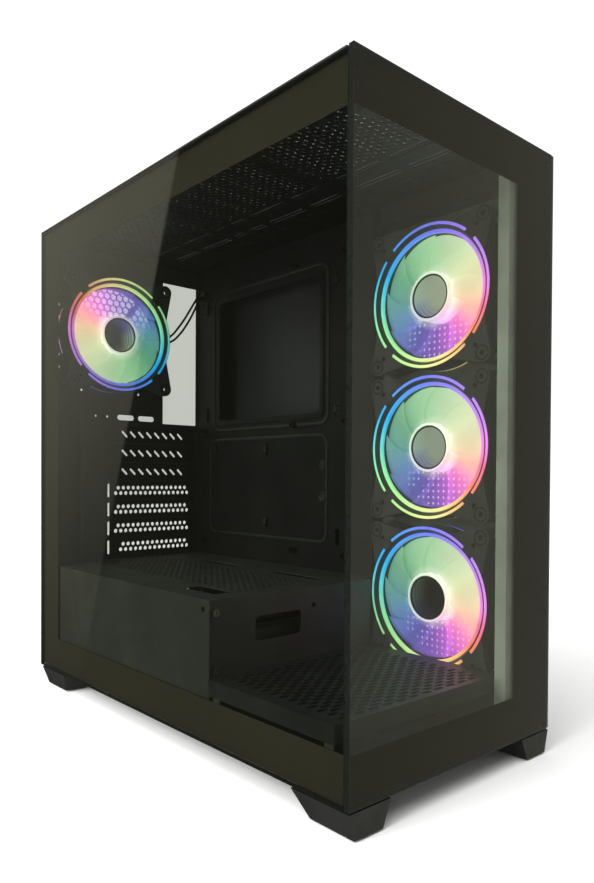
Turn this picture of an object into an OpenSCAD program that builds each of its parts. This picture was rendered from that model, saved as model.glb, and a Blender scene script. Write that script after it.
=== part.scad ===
// Desktop computer tower: an empty mid-tower case with a glass front and a glass
// side, four lit 120 mm fans, and room for a full-size motherboard.
// X runs from the glass side to the steel side, Y from front to back, Z up.

/* [Case] */
// Width of the case, glass side to steel side
case_w = 216; // [212:1:226]
// Depth of the case, front to back
case_d = 432; // [430:1:440]
// Height of the body above its feet
body_h = 432; // [430:1:440]
// Height of the feet below the body
foot_h = 18; // [14:1:22]

/* [Sheet, glass and gaps] */
// Thickness of the steel sheet
sheet = 1; // [0.7:0.1:1.2]
// Thickness of the glass panes
glass_t = 4; // [3:0.5:4]
// Width of the dark printed band along the top and bottom of the glass
band_z = 31; // [24:1:34]
// Width of the dark printed band along the back edge of the side glass
band_back = 32; // [24:1:36]
// Width of the dark printed band along the steel side of the front glass
band_side = 40; // [38:1:50]
// Gap round each panel that comes off
gap = 0.4; // [0.3:0.1:0.6]

/* [Motherboard] */
// Distance of the tray from the middle of the case
tray_x = 80.4; // [79:0.1:81]
// Height of the standoffs
standoff_h = 6.5; // [6:0.5:7]
// Height of the middle row of standoffs
board_mid_z = 259.3; // [257:0.1:261]
// Distance between the expansion slots
slot_pitch = 20.32; // [20.32:0.01:20.32]
// Height of the top expansion slot
slot_top_z = 252.9; // [251:0.1:254]

/* [Lower bay] */
// Height of the top of the power supply shroud
shroud_z = 118.7; // [117:0.1:119]
// Distance of the shroud's front wall from the middle of the case
shroud_front = 70; // [69:1:72]
// Height of the front deck
deck_z = 62.4; // [60:0.1:64]

/* [Fans] */
// Side of the square in which a fan fits
fan_size = 120; // [120:1:120]
// Depth of a fan
fan_depth = 25; // [25:1:25]
// Distance between the mounting holes of a fan
fan_holes = 105; // [105:1:105]
// Distance between the side fans
fan_pitch = 122.7; // [121:0.1:123]
// Height of the lowest side fan
fan_low_z = 109.6; // [109:0.1:111]
// Distance of the side fans in front of the middle of the case
fan_side_y = 128.3; // [127:0.1:129]
// Number of blades on a rotor
blades = 9; // [7:1:11]

/* [Hidden] */
$fn = 48;

// Outer planes of the case
xl = -case_w / 2;
xr = case_w / 2;
yf = -case_d / 2;
yr = case_d / 2;
z0 = foot_h;
zt = foot_h + body_h;

// Planes of the steel chassis inside the panels
cl = xl + glass_t + 1;
cr = xr - 2;
cf = yf + glass_t + 1.5;
cb = yr - sheet;
pan_z = z0 + 2;
floor_z = pan_z + sheet;
roof_z = zt - 7;
cover_z = roof_z + sheet;
step_x = cr - 15;
step_y = yr - 11;

// Motherboard standoffs, in rows from the top and columns from the back
rows_z = [board_mid_z + 157.48, board_mid_z, board_mid_z - 124.46];
cols_y = [yr - 17, yr - 17 - 154.94, yr - 17 - 227.33];

// Middle of the drive cage, front to back
cage_y = -5;

// Rear fan and side fans
rear_fan = [-33, cb - fan_depth, 354.9];
side_fan_x = tray_x - 11.2;
bracket_x = side_fan_x + fan_depth;
fan_zs = [fan_low_z, fan_low_z + fan_pitch, fan_low_z + 2 * fan_pitch];
fan_r = fan_size / 2 - 1.4;
bore_r = 50;
ring_w = 3.6;
arc_w = 2.8;
hub_r = 20;
rotor_r = 48.8;

// Connector panel in the top, near the front corner of the steel side
io_x = 90;
power_y = yf + 30;
reset_y = yf + 50;
port_ys = [yf + 74, yf + 94];
usbc_y = yf + 111;
jack_ys = [yf + 124, yf + 136];
power_r = 7;
reset_r = 3.5;

// Push-in clips that hold the two glass panels
clip_low_z = z0 + 19;
clip_high_z = roof_z - 15;
side_clip_ys = [yf + 40, yr - 26];
front_clip_xs = [xl + 26, xr - 26];

// A box from its lowest corner to its highest corner
module span(lo, hi) {
    translate(lo) cube(hi - lo);
}

// A flat plate with rounded corners, drawn in X and Y
module rounded_plate(size_x, size_y, thickness, r) {
    linear_extrude(thickness) rounded_square(size_x, size_y, r);
}

module rounded_square(size_x, size_y, r) {
    difference() {
        square([size_x, size_y], center = true);
        for (x = [-1, 1], y = [-1, 1])
            translate([x * (size_x / 2 - r), y * (size_y / 2 - r)]) difference() {
                translate([x > 0 ? 0 : -r - 1, y > 0 ? 0 : -r - 1]) square(r + 1);
                circle(r);
            }
    }
}

// A window through a wall that faces along Y
module window_y(x, y, z, size_x, size_z, r) {
    translate([x, y + 2, z]) rotate([90, 0, 0]) rounded_plate(size_x, size_z, 4 + sheet, r);
}

// A window through a wall that faces along X
module window_x(x, y, z, size_y, size_z, r) {
    translate([x - 2, y, z]) rotate([90, 0, 90]) rounded_plate(size_y, size_z, 4 + sheet, r);
}

// A window through a plate that faces along Z
module window_z(x, y, z, size_x, size_y, r) {
    translate([x, y, z - 2]) rounded_plate(size_x, size_y, 4 + sheet, r);
}

module base_pan() {
    color("#26282a") difference() {
        union() {
            span([cl, cf, pan_z], [cr, cb, floor_z]);
            span([cl, cf, floor_z], [cl + sheet, cb, floor_z + 8]);
            span([cl + sheet, cf, floor_z], [cr - sheet, cf + sheet, floor_z + 8]);
            span([cr - sheet, cf, floor_z], [cr, step_y - sheet, floor_z + 8]);
            for (side = [-1, 1]) {
                translate([side * 69.5, 0, 0]) span([-1, 52, pan_z - 3.4], [1, cb, pan_z]);
                translate([side * 67.5, 0, 0]) span([-3, 52, pan_z - 4.4], [3, cb, pan_z - 3.4]);
            }
        }
        for (row = [0, 1], i = [0 : 9])
            window_z(-54 + i * 12, 96 + row * 68, pan_z, 6, 58, 3);
        for (side = [-1, 1], y = [yf + 26, yr - 28])
            translate([side * (xr - 20), y, pan_z - 1]) cylinder(r = 1.8, h = 4);
    }
}

module rear_panel() {
    color("#26282a") difference() {
        union() {
            span([cl, cb, pan_z], [step_x, yr, cover_z]);
            span([cl, cb - 14, floor_z + 8], [cl + sheet, cb, roof_z]);
            span([step_x - sheet, step_y, floor_z], [step_x, cb, roof_z]);
            span([step_x - sheet, step_y - sheet, floor_z], [cr, step_y, roof_z]);
        }
        io_opening();
        rear_fan_grille();
        for (k = [0 : 2])
            window_y(18.5, cb, slot_top_z - k * slot_pitch, 97, 14.4, 1);
        for (k = [3 : 6])
            window_y(15.5, cb, slot_top_z - k * slot_pitch, 103, 14.4, 1);
        for (p = [[-36.4, 270.9], [-49.8, 271], [-36.2, 117], [-65.5, 297], [0.7, 297]])
            translate([p[0], cb - 1, p[1]]) rotate([-90, 0, 0]) cylinder(r = 1.3, h = 4);
        window_y(5, cb, 72, 124, 62, 4);
        for (p = [[-64, 108], [74, 108], [-64, 44], [50, 34]])
            translate([p[0], cb - 1, p[1]]) rotate([-90, 0, 0]) cylinder(r = 1.9, h = 4);
        for (x = [-14.6, 10.3])
            window_y(x, cb, 270.8, 20, 5.8, 2.8);
        for (i = [0 : 6])
            translate([-91.3, cb - 1, 318.5 + i * 12.7]) rotate([-90, 0, 0]) cylinder(r = 2.2, h = 4);
        for (z = [(z0 + 74), (roof_z - 76)])
            translate([step_x + 8, step_y - 2, z]) rotate([-90, 0, 0]) cylinder(r = 1.9, h = 4);
    }
}

// The opening for the motherboard's own connector plate
module io_opening() {
    span([tray_x - 49, cb - 1, 266.5], [tray_x - 49 + 44.45, yr + 1, 266.5 + 158.75]);
}

// Honeycomb vent and countersunk screw holes behind the rear fan
module rear_fan_grille() {
    pitch = 7.3;
    translate([rear_fan[0], yr + 1, rear_fan[2]]) rotate([90, 0, 0]) {
        for (row = [-8 : 8], col = [-8 : 8]) {
            x = (col + (abs(row) % 2) / 2) * pitch;
            y = row * pitch * 0.866;
            if (norm([x, y]) < 54)
                translate([x, y, 0]) rotate(30) cylinder(r = 3.5, h = 4, $fn = 6);
        }
        for (x = [-1, 1], y = [-1, 1])
            translate([x, y, 0] * fan_holes / 2) {
                cylinder(r = 2.2, h = 4);
                translate([0, 0, 1]) cylinder(r1 = 3.6, r2 = 2.2, h = sheet);
            }
    }
}

module motherboard_tray() {
    color("#222426") difference() {
        union() {
            span([tray_x, -60, shroud_z], [tray_x + sheet, cb, roof_z]);
            span([tray_x, 50, floor_z], [tray_x + sheet, 72, shroud_z]);
            span([tray_x, cb - 10, floor_z], [tray_x + sheet, cb, shroud_z]);
            span([tray_x + sheet, -60, shroud_z], [bracket_x, -60 + sheet, roof_z]);
            cpu_rim();
        }
        window_x(tray_x, 90.5, 335.7, 165, 131.5, 5);
        for (p = [[195.6, 399.8], [196.3, 278.2], [-14.6, 392.2], [-15, 272], [-16, 151.2]])
            window_x(tray_x, p[0], p[1], 5, 15.6, 1.5);
        for (p = [[89.2, 236.5], [89.2, 161.5], [179, 237.5]])
            window_x(tray_x, p[0], p[1], 4, 13.5, 1);
        for (z = [170, 285, 398])
            window_y((tray_x + bracket_x + sheet) / 2, -60, z, 9.6, 76, 3);
        translate([tray_x - 1, 208, 418.4]) rotate([0, 90, 0]) cylinder(r = 5, h = 4);
    }
}

// Raised rim round the opening behind the processor
module cpu_rim() {
    translate([tray_x - 1.2, 90.5, 335.7]) rotate([90, 0, 90]) linear_extrude(1.2) difference() {
        rounded_square(175, 141.5, 7);
        rounded_square(165, 131.5, 5);
    }
}

module top_plate() {
    color("#222426") difference() {
        union() {
            span([cl, cf, roof_z], [cr, cb, cover_z]);
            span([cl, cf, roof_z - 7], [cl + sheet, cb - 14, roof_z]);
            span([cl + sheet, cf, roof_z - 7], [cr - sheet, cf + sheet, roof_z]);
        }
        for (row = [0 : 5], i = [0 : 11])
            window_z(-89 + i * 7.8, -151 + row * 62, roof_z, 4.6, 54, 2.3);
        for (x = [-97, 8, 31.5], i = [0 : 5])
            window_z(x, -151 + i * 62, roof_z, 4.4, 46, 2);
        io_holes(roof_z - 1, 4, 1.6);
    }
}

// Holes for the buttons and the connectors, larger by clearance
module io_holes(z, h, clearance) {
    translate([io_x, power_y, z]) cylinder(r = power_r + 0.3, h = h);
    translate([io_x, reset_y, z]) cylinder(r = reset_r + 0.3, h = h);
    for (y = port_ys)
        translate([io_x, y, z + h / 2]) cube([6.4 + clearance, 13.8 + clearance, h], center = true);
    translate([io_x, usbc_y, z]) rounded_plate(3.8 + clearance, 9.6 + clearance, h, 1.8);
    for (y = jack_ys)
        translate([io_x, y, z]) cylinder(r = 3.2 + clearance / 2, h = h);
}

module top_cover() {
    color("#1b1c1d") difference() {
        union() {
            span([cl, cf, cover_z], [cr, yr, zt - 1.2]);
            span([xl, cf, zt - 1.2], [cr, yr, zt]);
        }
        translate([-20, 5, cover_z - 1]) rounded_plate(150, 398, 8, 6);
        translate([-20, 5, zt - 2.2]) rounded_plate(158, 406, 8, 9);
        io_holes(cover_z - 1, 8, 0.4);
    }
}

module front_pillar() {
    color("#4a4e4e") difference() {
        union() {
            span([59.3, cf + sheet, floor_z], [cr - sheet, cf + 2 * sheet, roof_z - 7]);
            span([59.3, cf + 2 * sheet, floor_z], [60.3, cf + 10, roof_z - 7]);
            span([60, cf + sheet, roof_z - 7], [cr - sheet, cf + 2 * sheet, roof_z]);
        }
        for (z = [60, 232, 400])
            window_y(98, cf + sheet, z, 6, 40, 3);
        for (z = [clip_low_z, clip_high_z])
            translate([xr - 26, cf, z]) rotate([-90, 0, 0]) cylinder(r = 3.2, h = 4);
    }
}

module fan_bracket() {
    color("#202224") difference() {
        span([bracket_x, cf + 2 * sheet, floor_z], [bracket_x + sheet, -60 + sheet, roof_z - 17]);
        for (z = fan_zs)
            translate([bracket_x - 1, -fan_side_y, z]) rotate([0, 90, 0]) {
                cylinder(r = 56, h = 4);
                for (x = [-1, 1], y = [-1, 1])
                    translate([x, y, 0] * fan_holes / 2) cylinder(r = 2.4, h = 4);
            }
    }
}

module psu_shroud() {
    top = shroud_z - sheet;
    color("#2b2d2e") difference() {
        union() {
            span([cl + sheet, -shroud_front, top], [tray_x, cb, shroud_z]);
            span([cl + sheet, -shroud_front, floor_z], [cl + 2 * sheet, 183, top]);
            span([cl + 2 * sheet, -shroud_front, floor_z], [tray_x - 12.4, -shroud_front + sheet, top]);
        }
        span([tray_x - 12.4, -shroud_front - 1, top - 1], [tray_x + 1, -60, shroud_z + 1]);
        window_y(-36.4, -shroud_front, 92.6, 46, 18.8, 3);
        window_z(36, 105, top, 11, 62, 4);
        window_z(35, -10, top, 11, 62, 4);
        window_z(-74.5, -28, top, 18, 44, 4);
        for (row = [0 : 2], i = [0 : 9])
            window_z(-56 + i * 8, -12 + row * 62, top, 4.4, 54, 2.2);
        window_y(0.3, -shroud_front, 104.2, 4.4, 4.4, 2);
        window_x(cl + sheet, -62, 111.4, 4.4, 4.4, 2);
    }
}

module front_deck() {
    color("#26282a") difference() {
        union() {
            span([cl, -199, deck_z - sheet], [side_fan_x - 1.2, -shroud_front, deck_z]);
            span([cl, -199, deck_z - 12], [cl + sheet, -shroud_front, deck_z - sheet]);
            span([cl + sheet, -199, deck_z - 12], [side_fan_x - 1.2, -198, deck_z - sheet]);
            span([side_fan_x - 2.2, -198, floor_z], [side_fan_x - 1.2, -shroud_front, deck_z - sheet]);
        }
        for (row = [0 : 8], i = [0 : 6])
            window_z(-74 + i * 20 + (row % 2) * 10, -184 + row * 12.5, deck_z - sheet, 12, 4.4, 2.2);
    }
}

module deck_brackets() {
    color("#3a3c3c") for (y = [-79, -193.5])
        difference() {
            union() {
                span([cl + sheet, y - 4, floor_z], [cl + 2 * sheet, y + 4, deck_z - sheet]);
                span([cl + 2 * sheet, y - 4, floor_z], [cl + 10, y + 4, floor_z + sheet]);
            }
            translate([cl, y, deck_z - 6]) rotate([0, 90, 0]) cylinder(r = 1.6, h = 4);
        }
}

// Three blanking plates with a screwed tongue, and four that only snap into their slot
module slot_covers() {
    color("#1d1f20") for (k = [0 : 6])
        translate([0, cb - sheet, slot_top_z - k * slot_pitch]) difference() {
            union() {
                span([k < 3 ? -33 : -34, 0, -9.2], [73, sheet, 9.2]);
                if (k < 3)
                    span([-60, 0, -5], [-33, sheet, 5]);
            }
            if (k < 3)
                slanted_holes();
            else
                round_holes(k == 6 ? 1 : 0);
            translate([-52, -1, 0]) rotate([-90, 0, 0]) cylinder(r = 1.9, h = 4);
        }
}

module slanted_holes() {
    for (i = [0 : 7])
        translate([-16.4 + i * 9.98, 2, 0]) rotate([90, 0, 0]) rotate(46)
            rounded_plate(2.6, 9.2, 4, 1.25);
}

module round_holes(skip) {
    for (i = [skip : 15])
        translate([-26.7 + i * 6, -1, -2.9]) rotate([-90, 0, 0]) cylinder(r = 2.1, h = 4, $fn = 16);
    for (i = [skip : 14])
        translate([-23.7 + i * 6, -1, 2.9]) rotate([-90, 0, 0]) cylinder(r = 2.1, h = 4, $fn = 16);
}

// Pressed channel that covers the tongues and the screws of the blanking plates
module slot_retainer() {
    bottom = slot_top_z - 6 * slot_pitch - 11;
    top = slot_top_z + 11;
    color("#2b2d2e") difference() {
        union() {
            span([-70.5, cb - 7, bottom], [-43, cb - 6, top]);
            span([-70.5, cb - 6, bottom], [-69.5, cb, top]);
            span([-70.5, cb - sheet, top], [-43, cb, top + 10]);
            span([-69.5, cb - 6, top - 1], [-43, cb, top]);
            span([-69.5, cb - 6, bottom], [-43, cb, bottom + 1]);
        }
        translate([-49.8, cb - 2, 271]) rotate([-90, 0, 0]) cylinder(r = 1.3, h = 4);
    }
}

module standoffs() {
    color("#8a7a4a") for (y = cols_y, z = rows_z)
        translate([tray_x - standoff_h, y, z]) rotate([0, 90, 0]) difference() {
            cylinder(r = 3, h = standoff_h, $fn = 6);
            translate([0, 0, -1]) cylinder(r = 1.6, h = standoff_h);
        }
}

// Spring clips that grip the studs of the glass panels
module panel_clips() {
    color("#151617") {
        for (y = side_clip_ys, z = [clip_low_z, clip_high_z])
            translate([cl + sheet, y, z]) rotate([90, 0, 90]) clip(z == clip_low_z);
        for (x = front_clip_xs, z = [clip_low_z, clip_high_z])
            translate([x, cf + 2 * sheet, z]) rotate([90, 0, 180]) clip(z == clip_low_z);
    }
}

module clip(low) {
    reach = low ? clip_low_z - floor_z : roof_z - clip_high_z;
    difference() {
        union() {
            translate([-6, -5, 0]) cube([12, 10, 10]);
            translate([-6, low ? -reach : 5, 0]) cube([12, reach - 5, 10]);
        }
        translate([0, 0, -1]) cylinder(r = 2.8, h = 12);
    }
}

// A foot that tapers on three or four sides, with a block that meets the pan
module foot(side, back) {
    length = 50;
    y = back ? yr - 4 - length : yf;
    taper_front = back ? 5 : 0;
    taper_back = back ? 6 : 13;
    top = z0 - 1;
    color("#2e3031") difference() {
        union() {
            intersection() {
                translate([0, y + length, 0]) rotate([90, 0, 0]) linear_extrude(length)
                    polygon([[side * xr, top], [side * (xr - 36), top],
                             [side * (xr - 29), 1], [side * (xr - 4.5), 1]]);
                rotate([90, 0, 90]) translate([0, 0, -xr]) linear_extrude(case_w)
                    polygon([[y, top], [y + length, top],
                             [y + length - taper_back, 1], [y + taper_front, 1]]);
            }
            translate([side * (xr - 20), y + 26, (top + pan_z) / 2])
                cube([24, 34, pan_z - top], center = true);
        }
        translate([side * (xr - 20), y + 26, pan_z - 12]) cylinder(r = 1.6, h = 20);
    }
}

module front_left_foot() {
    foot(-1, false);
}

module front_right_foot() {
    foot(1, false);
}

module rear_left_foot() {
    foot(-1, true);
}

module rear_right_foot() {
    foot(1, true);
}

module foot_pads() {
    color("#111213") for (side = [-1, 1]) {
        translate([side * (xr - 16.8), yf + 18.5, 0]) rounded_plate(20, 31, 1, 3);
        translate([side * (xr - 16.8), yr - 29.5, 0]) rounded_plate(20, 33, 1, 3);
    }
}

// Screws through the pan into the feet, and through the deck brackets
module case_screws() {
    color("#6d7072") {
        for (side = [-1, 1], y = [yf + 26, yr - 28])
            translate([side * (xr - 20), y, floor_z]) {
                screw_head(3.4);
                translate([0, 0, -10]) cylinder(r = 1.5, h = 10);
            }
        for (k = [0 : 2])
            translate([-52, cb - sheet, slot_top_z - k * slot_pitch]) rotate([90, 0, 0]) {
                screw_head(3.2);
                translate([0, 0, -sheet]) cylinder(r = 1.6, h = sheet);
            }
        for (z = [109.2, 67.9])
            translate([-97.1, -shroud_front, z]) rotate([90, 0, 0]) screw_head(2.8);
    }
}

// A round screw head with a cross recess, standing on Z = 0
module screw_head(r) {
    difference() {
        cylinder(r = r, h = 2);
        for (a = [0, 90])
            rotate(a) translate([-r * 0.6, -0.4, 1]) cube([r * 1.2, 0.8, 2]);
    }
}

module io_housing() {
    floor_ = roof_z - 17;
    color("#1a1b1c") difference() {
        span([io_x - 13, power_y - 12, floor_], [io_x + 14, jack_ys[1] + 9, roof_z]);
        span([io_x - 11.5, power_y - 10.5, floor_ + 1.5], [io_x + 12.5, jack_ys[1] + 7.5, roof_z + 1]);
        window_y(io_x, jack_ys[1] + 8, floor_ + 6, 14, 5, 1);
    }
}

module io_board() {
    color("#17402a")
        span([io_x - 11, power_y - 10, roof_z - 15.5], [io_x + 12, jack_ys[1] + 7, roof_z - 13.9]);
}

module io_ports() {
    board = roof_z - 13.9;
    color("#a9adb0") {
        for (y = port_ys)
            translate([io_x, y, board]) difference() {
                translate([-3.1, -6.8, 0]) cube([6.2, 13.6, zt - 0.6 - board]);
                translate([-2.6, -6.2, 4]) cube([5.2, 12.4, 30]);
            }
        translate([io_x, usbc_y, board]) difference() {
            rounded_plate(3.6, 9.4, zt - 0.6 - board, 1.7);
            translate([0, 0, 8]) rounded_plate(2.6, 8.4, 30, 1.2);
        }
        for (y = jack_ys)
            translate([io_x, y, board]) difference() {
                cylinder(r = 3, h = zt - 0.6 - board);
                translate([0, 0, 4]) cylinder(r = 1.8, h = 30);
            }
    }
}

module button_switches() {
    board = roof_z - 13.9;
    color("#303234") for (y = [power_y, reset_y])
        translate([io_x, y, board]) {
            translate([-3, -3, 0]) cube([6, 6, 3.5]);
            cylinder(r = 1.6, h = 4.6);
        }
}

module psu_pads() {
    color("#0e0f10") for (x = [-60, 60])
        translate([x, 130, floor_z]) rounded_plate(10, 120, 7, 2);
}

// Open-sided cage for two large drives, with a ledge under each tray
module drive_cage() {
    x0 = -70;
    x1 = tray_x - 4;
    y0 = cage_y - 53.5;
    y1 = cage_y + 53.5;
    top = floor_z + 68;
    color("#3a3c3d") difference() {
        union() {
            span([x0, y0, floor_z], [x1, y0 + sheet, top]);
            span([x0, y1 - sheet, floor_z], [x1, y1, top]);
            span([x0, y0 + sheet, top - sheet], [x1, y1 - sheet, top]);
            span([x0, y0 + sheet, floor_z], [x1, y1 - sheet, floor_z + sheet]);
            for (z = [2, 34]) {
                span([x0, y0 + sheet, floor_z + z], [x1, y0 + sheet + 3, floor_z + z + 1]);
                span([x0, y1 - sheet - 3, floor_z + z], [x1, y1 - sheet, floor_z + z + 1]);
            }
        }
        window_z((x0 + x1) / 2, (y0 + y1) / 2, top - sheet, 90, 70, 6);
        for (z = [18, 50], x = [-40, 46], y = [y0, y1 - sheet])
            window_y(x, y, floor_z + z, 40, 12, 3);
    }
}

// A plastic sled for one large drive
module drive_tray(z) {
    y0 = cage_y - 52.1;
    y1 = cage_y + 52.1;
    x1 = tray_x - 3.4;
    color("#151718") difference() {
        union() {
            span([-68, y0, z], [x1, y1, z + 3]);
            span([-68, y0, z + 3], [x1, y0 + 1, z + 14]);
            span([-68, y1 - 1, z + 3], [x1, y1, z + 14]);
            span([x1, y0, z], [x1 + 3, y1, z + 26]);
        }
        window_z(0, cage_y, z, 110, 80, 6);
        window_x(x1, cage_y, z + 15, 50, 9, 4);
    }
}

module upper_drive_tray() {
    drive_tray(floor_z + 35.2);
}

module lower_drive_tray() {
    drive_tray(floor_z + 3.2);
}

// Two plates on the back of the tray, each for one small drive
module ssd_brackets() {
    x = tray_x + sheet;
    color("#2f3132") for (y = [36, 138])
        difference() {
            union() {
                span([x + 4, y - 48, 160], [x + 5, y + 48, 240]);
                for (s = [-1, 1])
                    translate([0, s * 44, 0]) span([x, y - 4, 160], [x + 4, y + 4, 168]);
                for (s = [-1, 1])
                    translate([0, s * 44, 0]) span([x, y - 4, 232], [x + 4, y + 4, 240]);
            }
            for (dy = [-38.3, 38.3], dz = [-30.86, 30.86])
                translate([x + 3, y + dy, 200 + dz]) rotate([0, 90, 0]) cylinder(r = 1.6, h = 4);
            window_x(x + 4, y, 200, 40, 34, 4);
        }
}

// Splitter board that joins the leads of the fans and their lights
module fan_hub() {
    color("#121314") difference() {
        span([tray_x + sheet, -50, 306], [tray_x + sheet + 9, -6, 378]);
        for (i = [0 : 4], y = [-46, -18])
            span([tray_x + sheet + 4, y, 313 + i * 12], [tray_x + sheet + 10, y + 8, 321 + i * 12]);
    }
}

// Two leads from the rear fan to a hole in the tray, and on to the splitter
module rear_fan_leads() {
    color("#101112") {
        lead([[25.3, 206, 361.5], [31, 206, 362], [38, 206, 366.5], [46, 206.2, 375.5], [54, 206.5, 386],
              [62, 207, 398], [70, 207.6, 410], [76, 208.2, 418], [80.9, 208.4, 421], [85, 206.5, 421],
              [88, 198, 418.5], [88, 170, 413], [88, 130, 409], [88, 90, 407.5], [88, 50, 407.5],
              [88, 10, 406], [87, -18, 400], [86, -32, 390], [86, -36, 378]]);
        lead([[25.5, 206, 357], [31, 206, 357], [38, 206, 359.5], [47, 206, 367.5], [56, 206, 379],
              [64, 206.4, 391.5], [71, 207, 404.5], [76.5, 207.6, 413.3], [80.9, 207.8, 416.2],
              [84.5, 206, 416.2], [86, 198, 413.8], [85.5, 170, 408.5], [85.5, 130, 404.6],
              [85.5, 90, 403.2], [85.5, 50, 403.2], [85.5, 20, 402], [85.5, -4, 396.5], [86, -16, 388],
              [86, -18, 378]]);
    }
}

// A round lead on a smooth curve through a list of points
module lead(points) {
    r = 1.2;
    sides = 10;
    steps = 3;
    n = len(points);
    ends = concat([2 * points[0] - points[1]], points, [2 * points[n - 1] - points[n - 2]]);
    path = concat([for (i = [1 : n - 1], k = [0 : steps - 1])
                       curve_point(ends[i - 1], ends[i], ends[i + 1], ends[i + 2], k / steps)],
                  [points[n - 1]]);
    m = len(path);
    rings = [for (i = [0 : m - 1]) let (
                 run = path[min(i + 1, m - 1)] - path[max(i - 1, 0)],
                 along = run / norm(run),
                 side = cross(along, [1, 1, -1]),
                 u = side / norm(side),
                 v = cross(along, u))
             for (k = [0 : sides - 1])
                 path[i] + r * (cos(k * 360 / sides) * u + sin(k * 360 / sides) * v)];
    polyhedron(points = rings, faces = concat(
        [[for (k = [sides - 1 : -1 : 0]) k]],
        [for (i = [0 : m - 2], k = [0 : sides - 1]) let (a = i * sides, b = (k + 1) % sides)
             [a + k, a + b, a + b + sides]],
        [for (i = [0 : m - 2], k = [0 : sides - 1]) let (a = i * sides, b = (k + 1) % sides)
             [a + k, a + b + sides, a + k + sides]],
        [[for (k = [0 : sides - 1]) (m - 1) * sides + k]]));
}

// A point on the smooth curve from b to c, a share t of the way along
function curve_point(a, b, c, d, t) =
    0.5 * (2 * b + (c - a) * t + (2 * a - 5 * b + 4 * c - d) * t * t
           + (3 * b - a - 3 * c + d) * t * t * t);

module fan_screws() {
    color("#7c8083") {
        for (x = [-1, 1], y = [-1, 1])
            translate([rear_fan[0] + x * fan_holes / 2, yr, rear_fan[2] + y * fan_holes / 2])
                rotate([90, 0, 0]) fan_screw(true);
        for (z = fan_zs, x = [-1, 1], y = [-1, 1])
            translate([bracket_x + sheet, -fan_side_y + x * fan_holes / 2, z + y * fan_holes / 2])
                rotate([0, -90, 0]) fan_screw(false);
    }
}

// A self-tapping screw whose point goes along +Z, with a sunk or a raised head
module fan_screw(sunk) {
    if (sunk)
        cylinder(r1 = 3.5, r2 = 2.1, h = sheet);
    else
        translate([0, 0, -2]) cylinder(r = 3.5, h = 2);
    cylinder(r = 2.1, h = 6);
}

// Places its children where a fan is, with Z = 0 on the lit face
module rear_fan_place() {
    translate(rear_fan) rotate([-90, 0, 0]) children();
}

module side_fan_place(k) {
    translate([side_fan_x, -fan_side_y, fan_zs[k]]) rotate([0, 90, 0]) children();
}

module fan_frame() {
    color("#141516") difference() {
        union() {
            cylinder(r = fan_r, h = fan_depth, $fn = 96);
            for (z = [0, fan_depth - 5])
                translate([0, 0, z]) linear_extrude(5) fan_ears();
        }
        translate([0, 0, -1]) cylinder(r = bore_r, h = fan_depth + 2, $fn = 96);
        translate([0, 0, -1]) cylinder(r = bore_r + ring_w + 0.1, h = 3.2, $fn = 96);
        for (z = [-1, fan_depth - 2.4])
            translate([0, 0, z]) light_arcs(arc_w + 0.2, fan_r + 0.05, 3.4, 80);
        for (x = [-1, 1], y = [-1, 1])
            translate([x * fan_holes / 2, y * fan_holes / 2, -1]) cylinder(r = 2.2, h = fan_depth + 2);
    }
    color("#141516") difference() {
        union() {
            translate([0, 0, fan_depth - 3.5]) cylinder(r = hub_r, h = 3.5);
            for (a = [12 : 90 : 282])
                rotate(a) translate([hub_r - 1, -2.5, fan_depth - 3.5]) cube([bore_r - hub_r + 2, 5, 3]);
            translate([0, 0, 10]) cylinder(r = 4.5, h = fan_depth - 12);
        }
        translate([0, 0, 8]) cylinder(r = 1.58, h = fan_depth - 10);
    }
}

// Outline of the four corner ears, each a taper from the ring to its hole
module fan_ears() {
    tip = fan_holes / 2 * sqrt(2);
    for (a = [45 : 90 : 315])
        rotate(a) {
            polygon([[bore_r + 3, -22], [bore_r + 3, 22], [tip + 1, 7.2], [tip + 1, -7.2]]);
            translate([tip, 0]) circle(7.4);
        }
}

// Four arcs along the edge of a fan, with gaps at the corners
module light_arcs(width, r, h, arc) {
    for (a = [90 : 90 : 360])
        rotate(a - arc / 2) rotate_extrude(angle = arc, $fn = 96)
            translate([r - width, 0]) square([width, h]);
}

module fan_lights() {
    color("#e8eef2") {
        difference() {
            cylinder(r = bore_r + ring_w, h = 2.2, $fn = 96);
            translate([0, 0, -1]) cylinder(r = bore_r + 0.1, h = 5, $fn = 96);
        }
        translate([0, 0, 0.2]) light_arcs(arc_w, fan_r - 0.05, 2.2, 79);
        translate([0, 0, fan_depth - 2.4]) light_arcs(arc_w, fan_r - 0.05, 2.2, 79);
    }
}

module fan_motor() {
    color("#8c5a34") difference() {
        cylinder(r = 14, h = 8);
        translate([0, 0, -1]) cylinder(r = 4.5, h = 10);
        for (a = [0 : 90 : 270])
            rotate(a + 45) translate([9, -1.5, -1]) cube([8, 3, 10]);
    }
}

module fan_rotor() {
    color("#dfe6e8") {
        difference() {
            translate([0, 0, 2.5]) cylinder(r = hub_r, h = 18);
            translate([0, 0, 5]) cylinder(r = hub_r - 2.5, h = 18);
        }
        cylinder_between(1.5, 4, fan_depth - 3);
        for (i = [0 : blades - 1])
            rotate(i * 360 / blades) translate([hub_r - 1, 0, 12]) rotate([36, 0, 0])
                translate([0, -12, -0.8]) cube([rotor_r - hub_r - 0.2, 24, 1.6]);
    }
}

module cylinder_between(r, z_low, z_high) {
    translate([0, 0, z_low]) cylinder(r = r, h = z_high - z_low);
}

module rear_fan_frame() {
    rear_fan_place() fan_frame();
}

module rear_fan_motor() {
    rear_fan_place() translate([0, 0, 12]) fan_motor();
}

module rear_fan_lights() {
    rear_fan_place() fan_lights();
}

module rear_fan_rotor() {
    rear_fan_place() fan_rotor();
}

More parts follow.
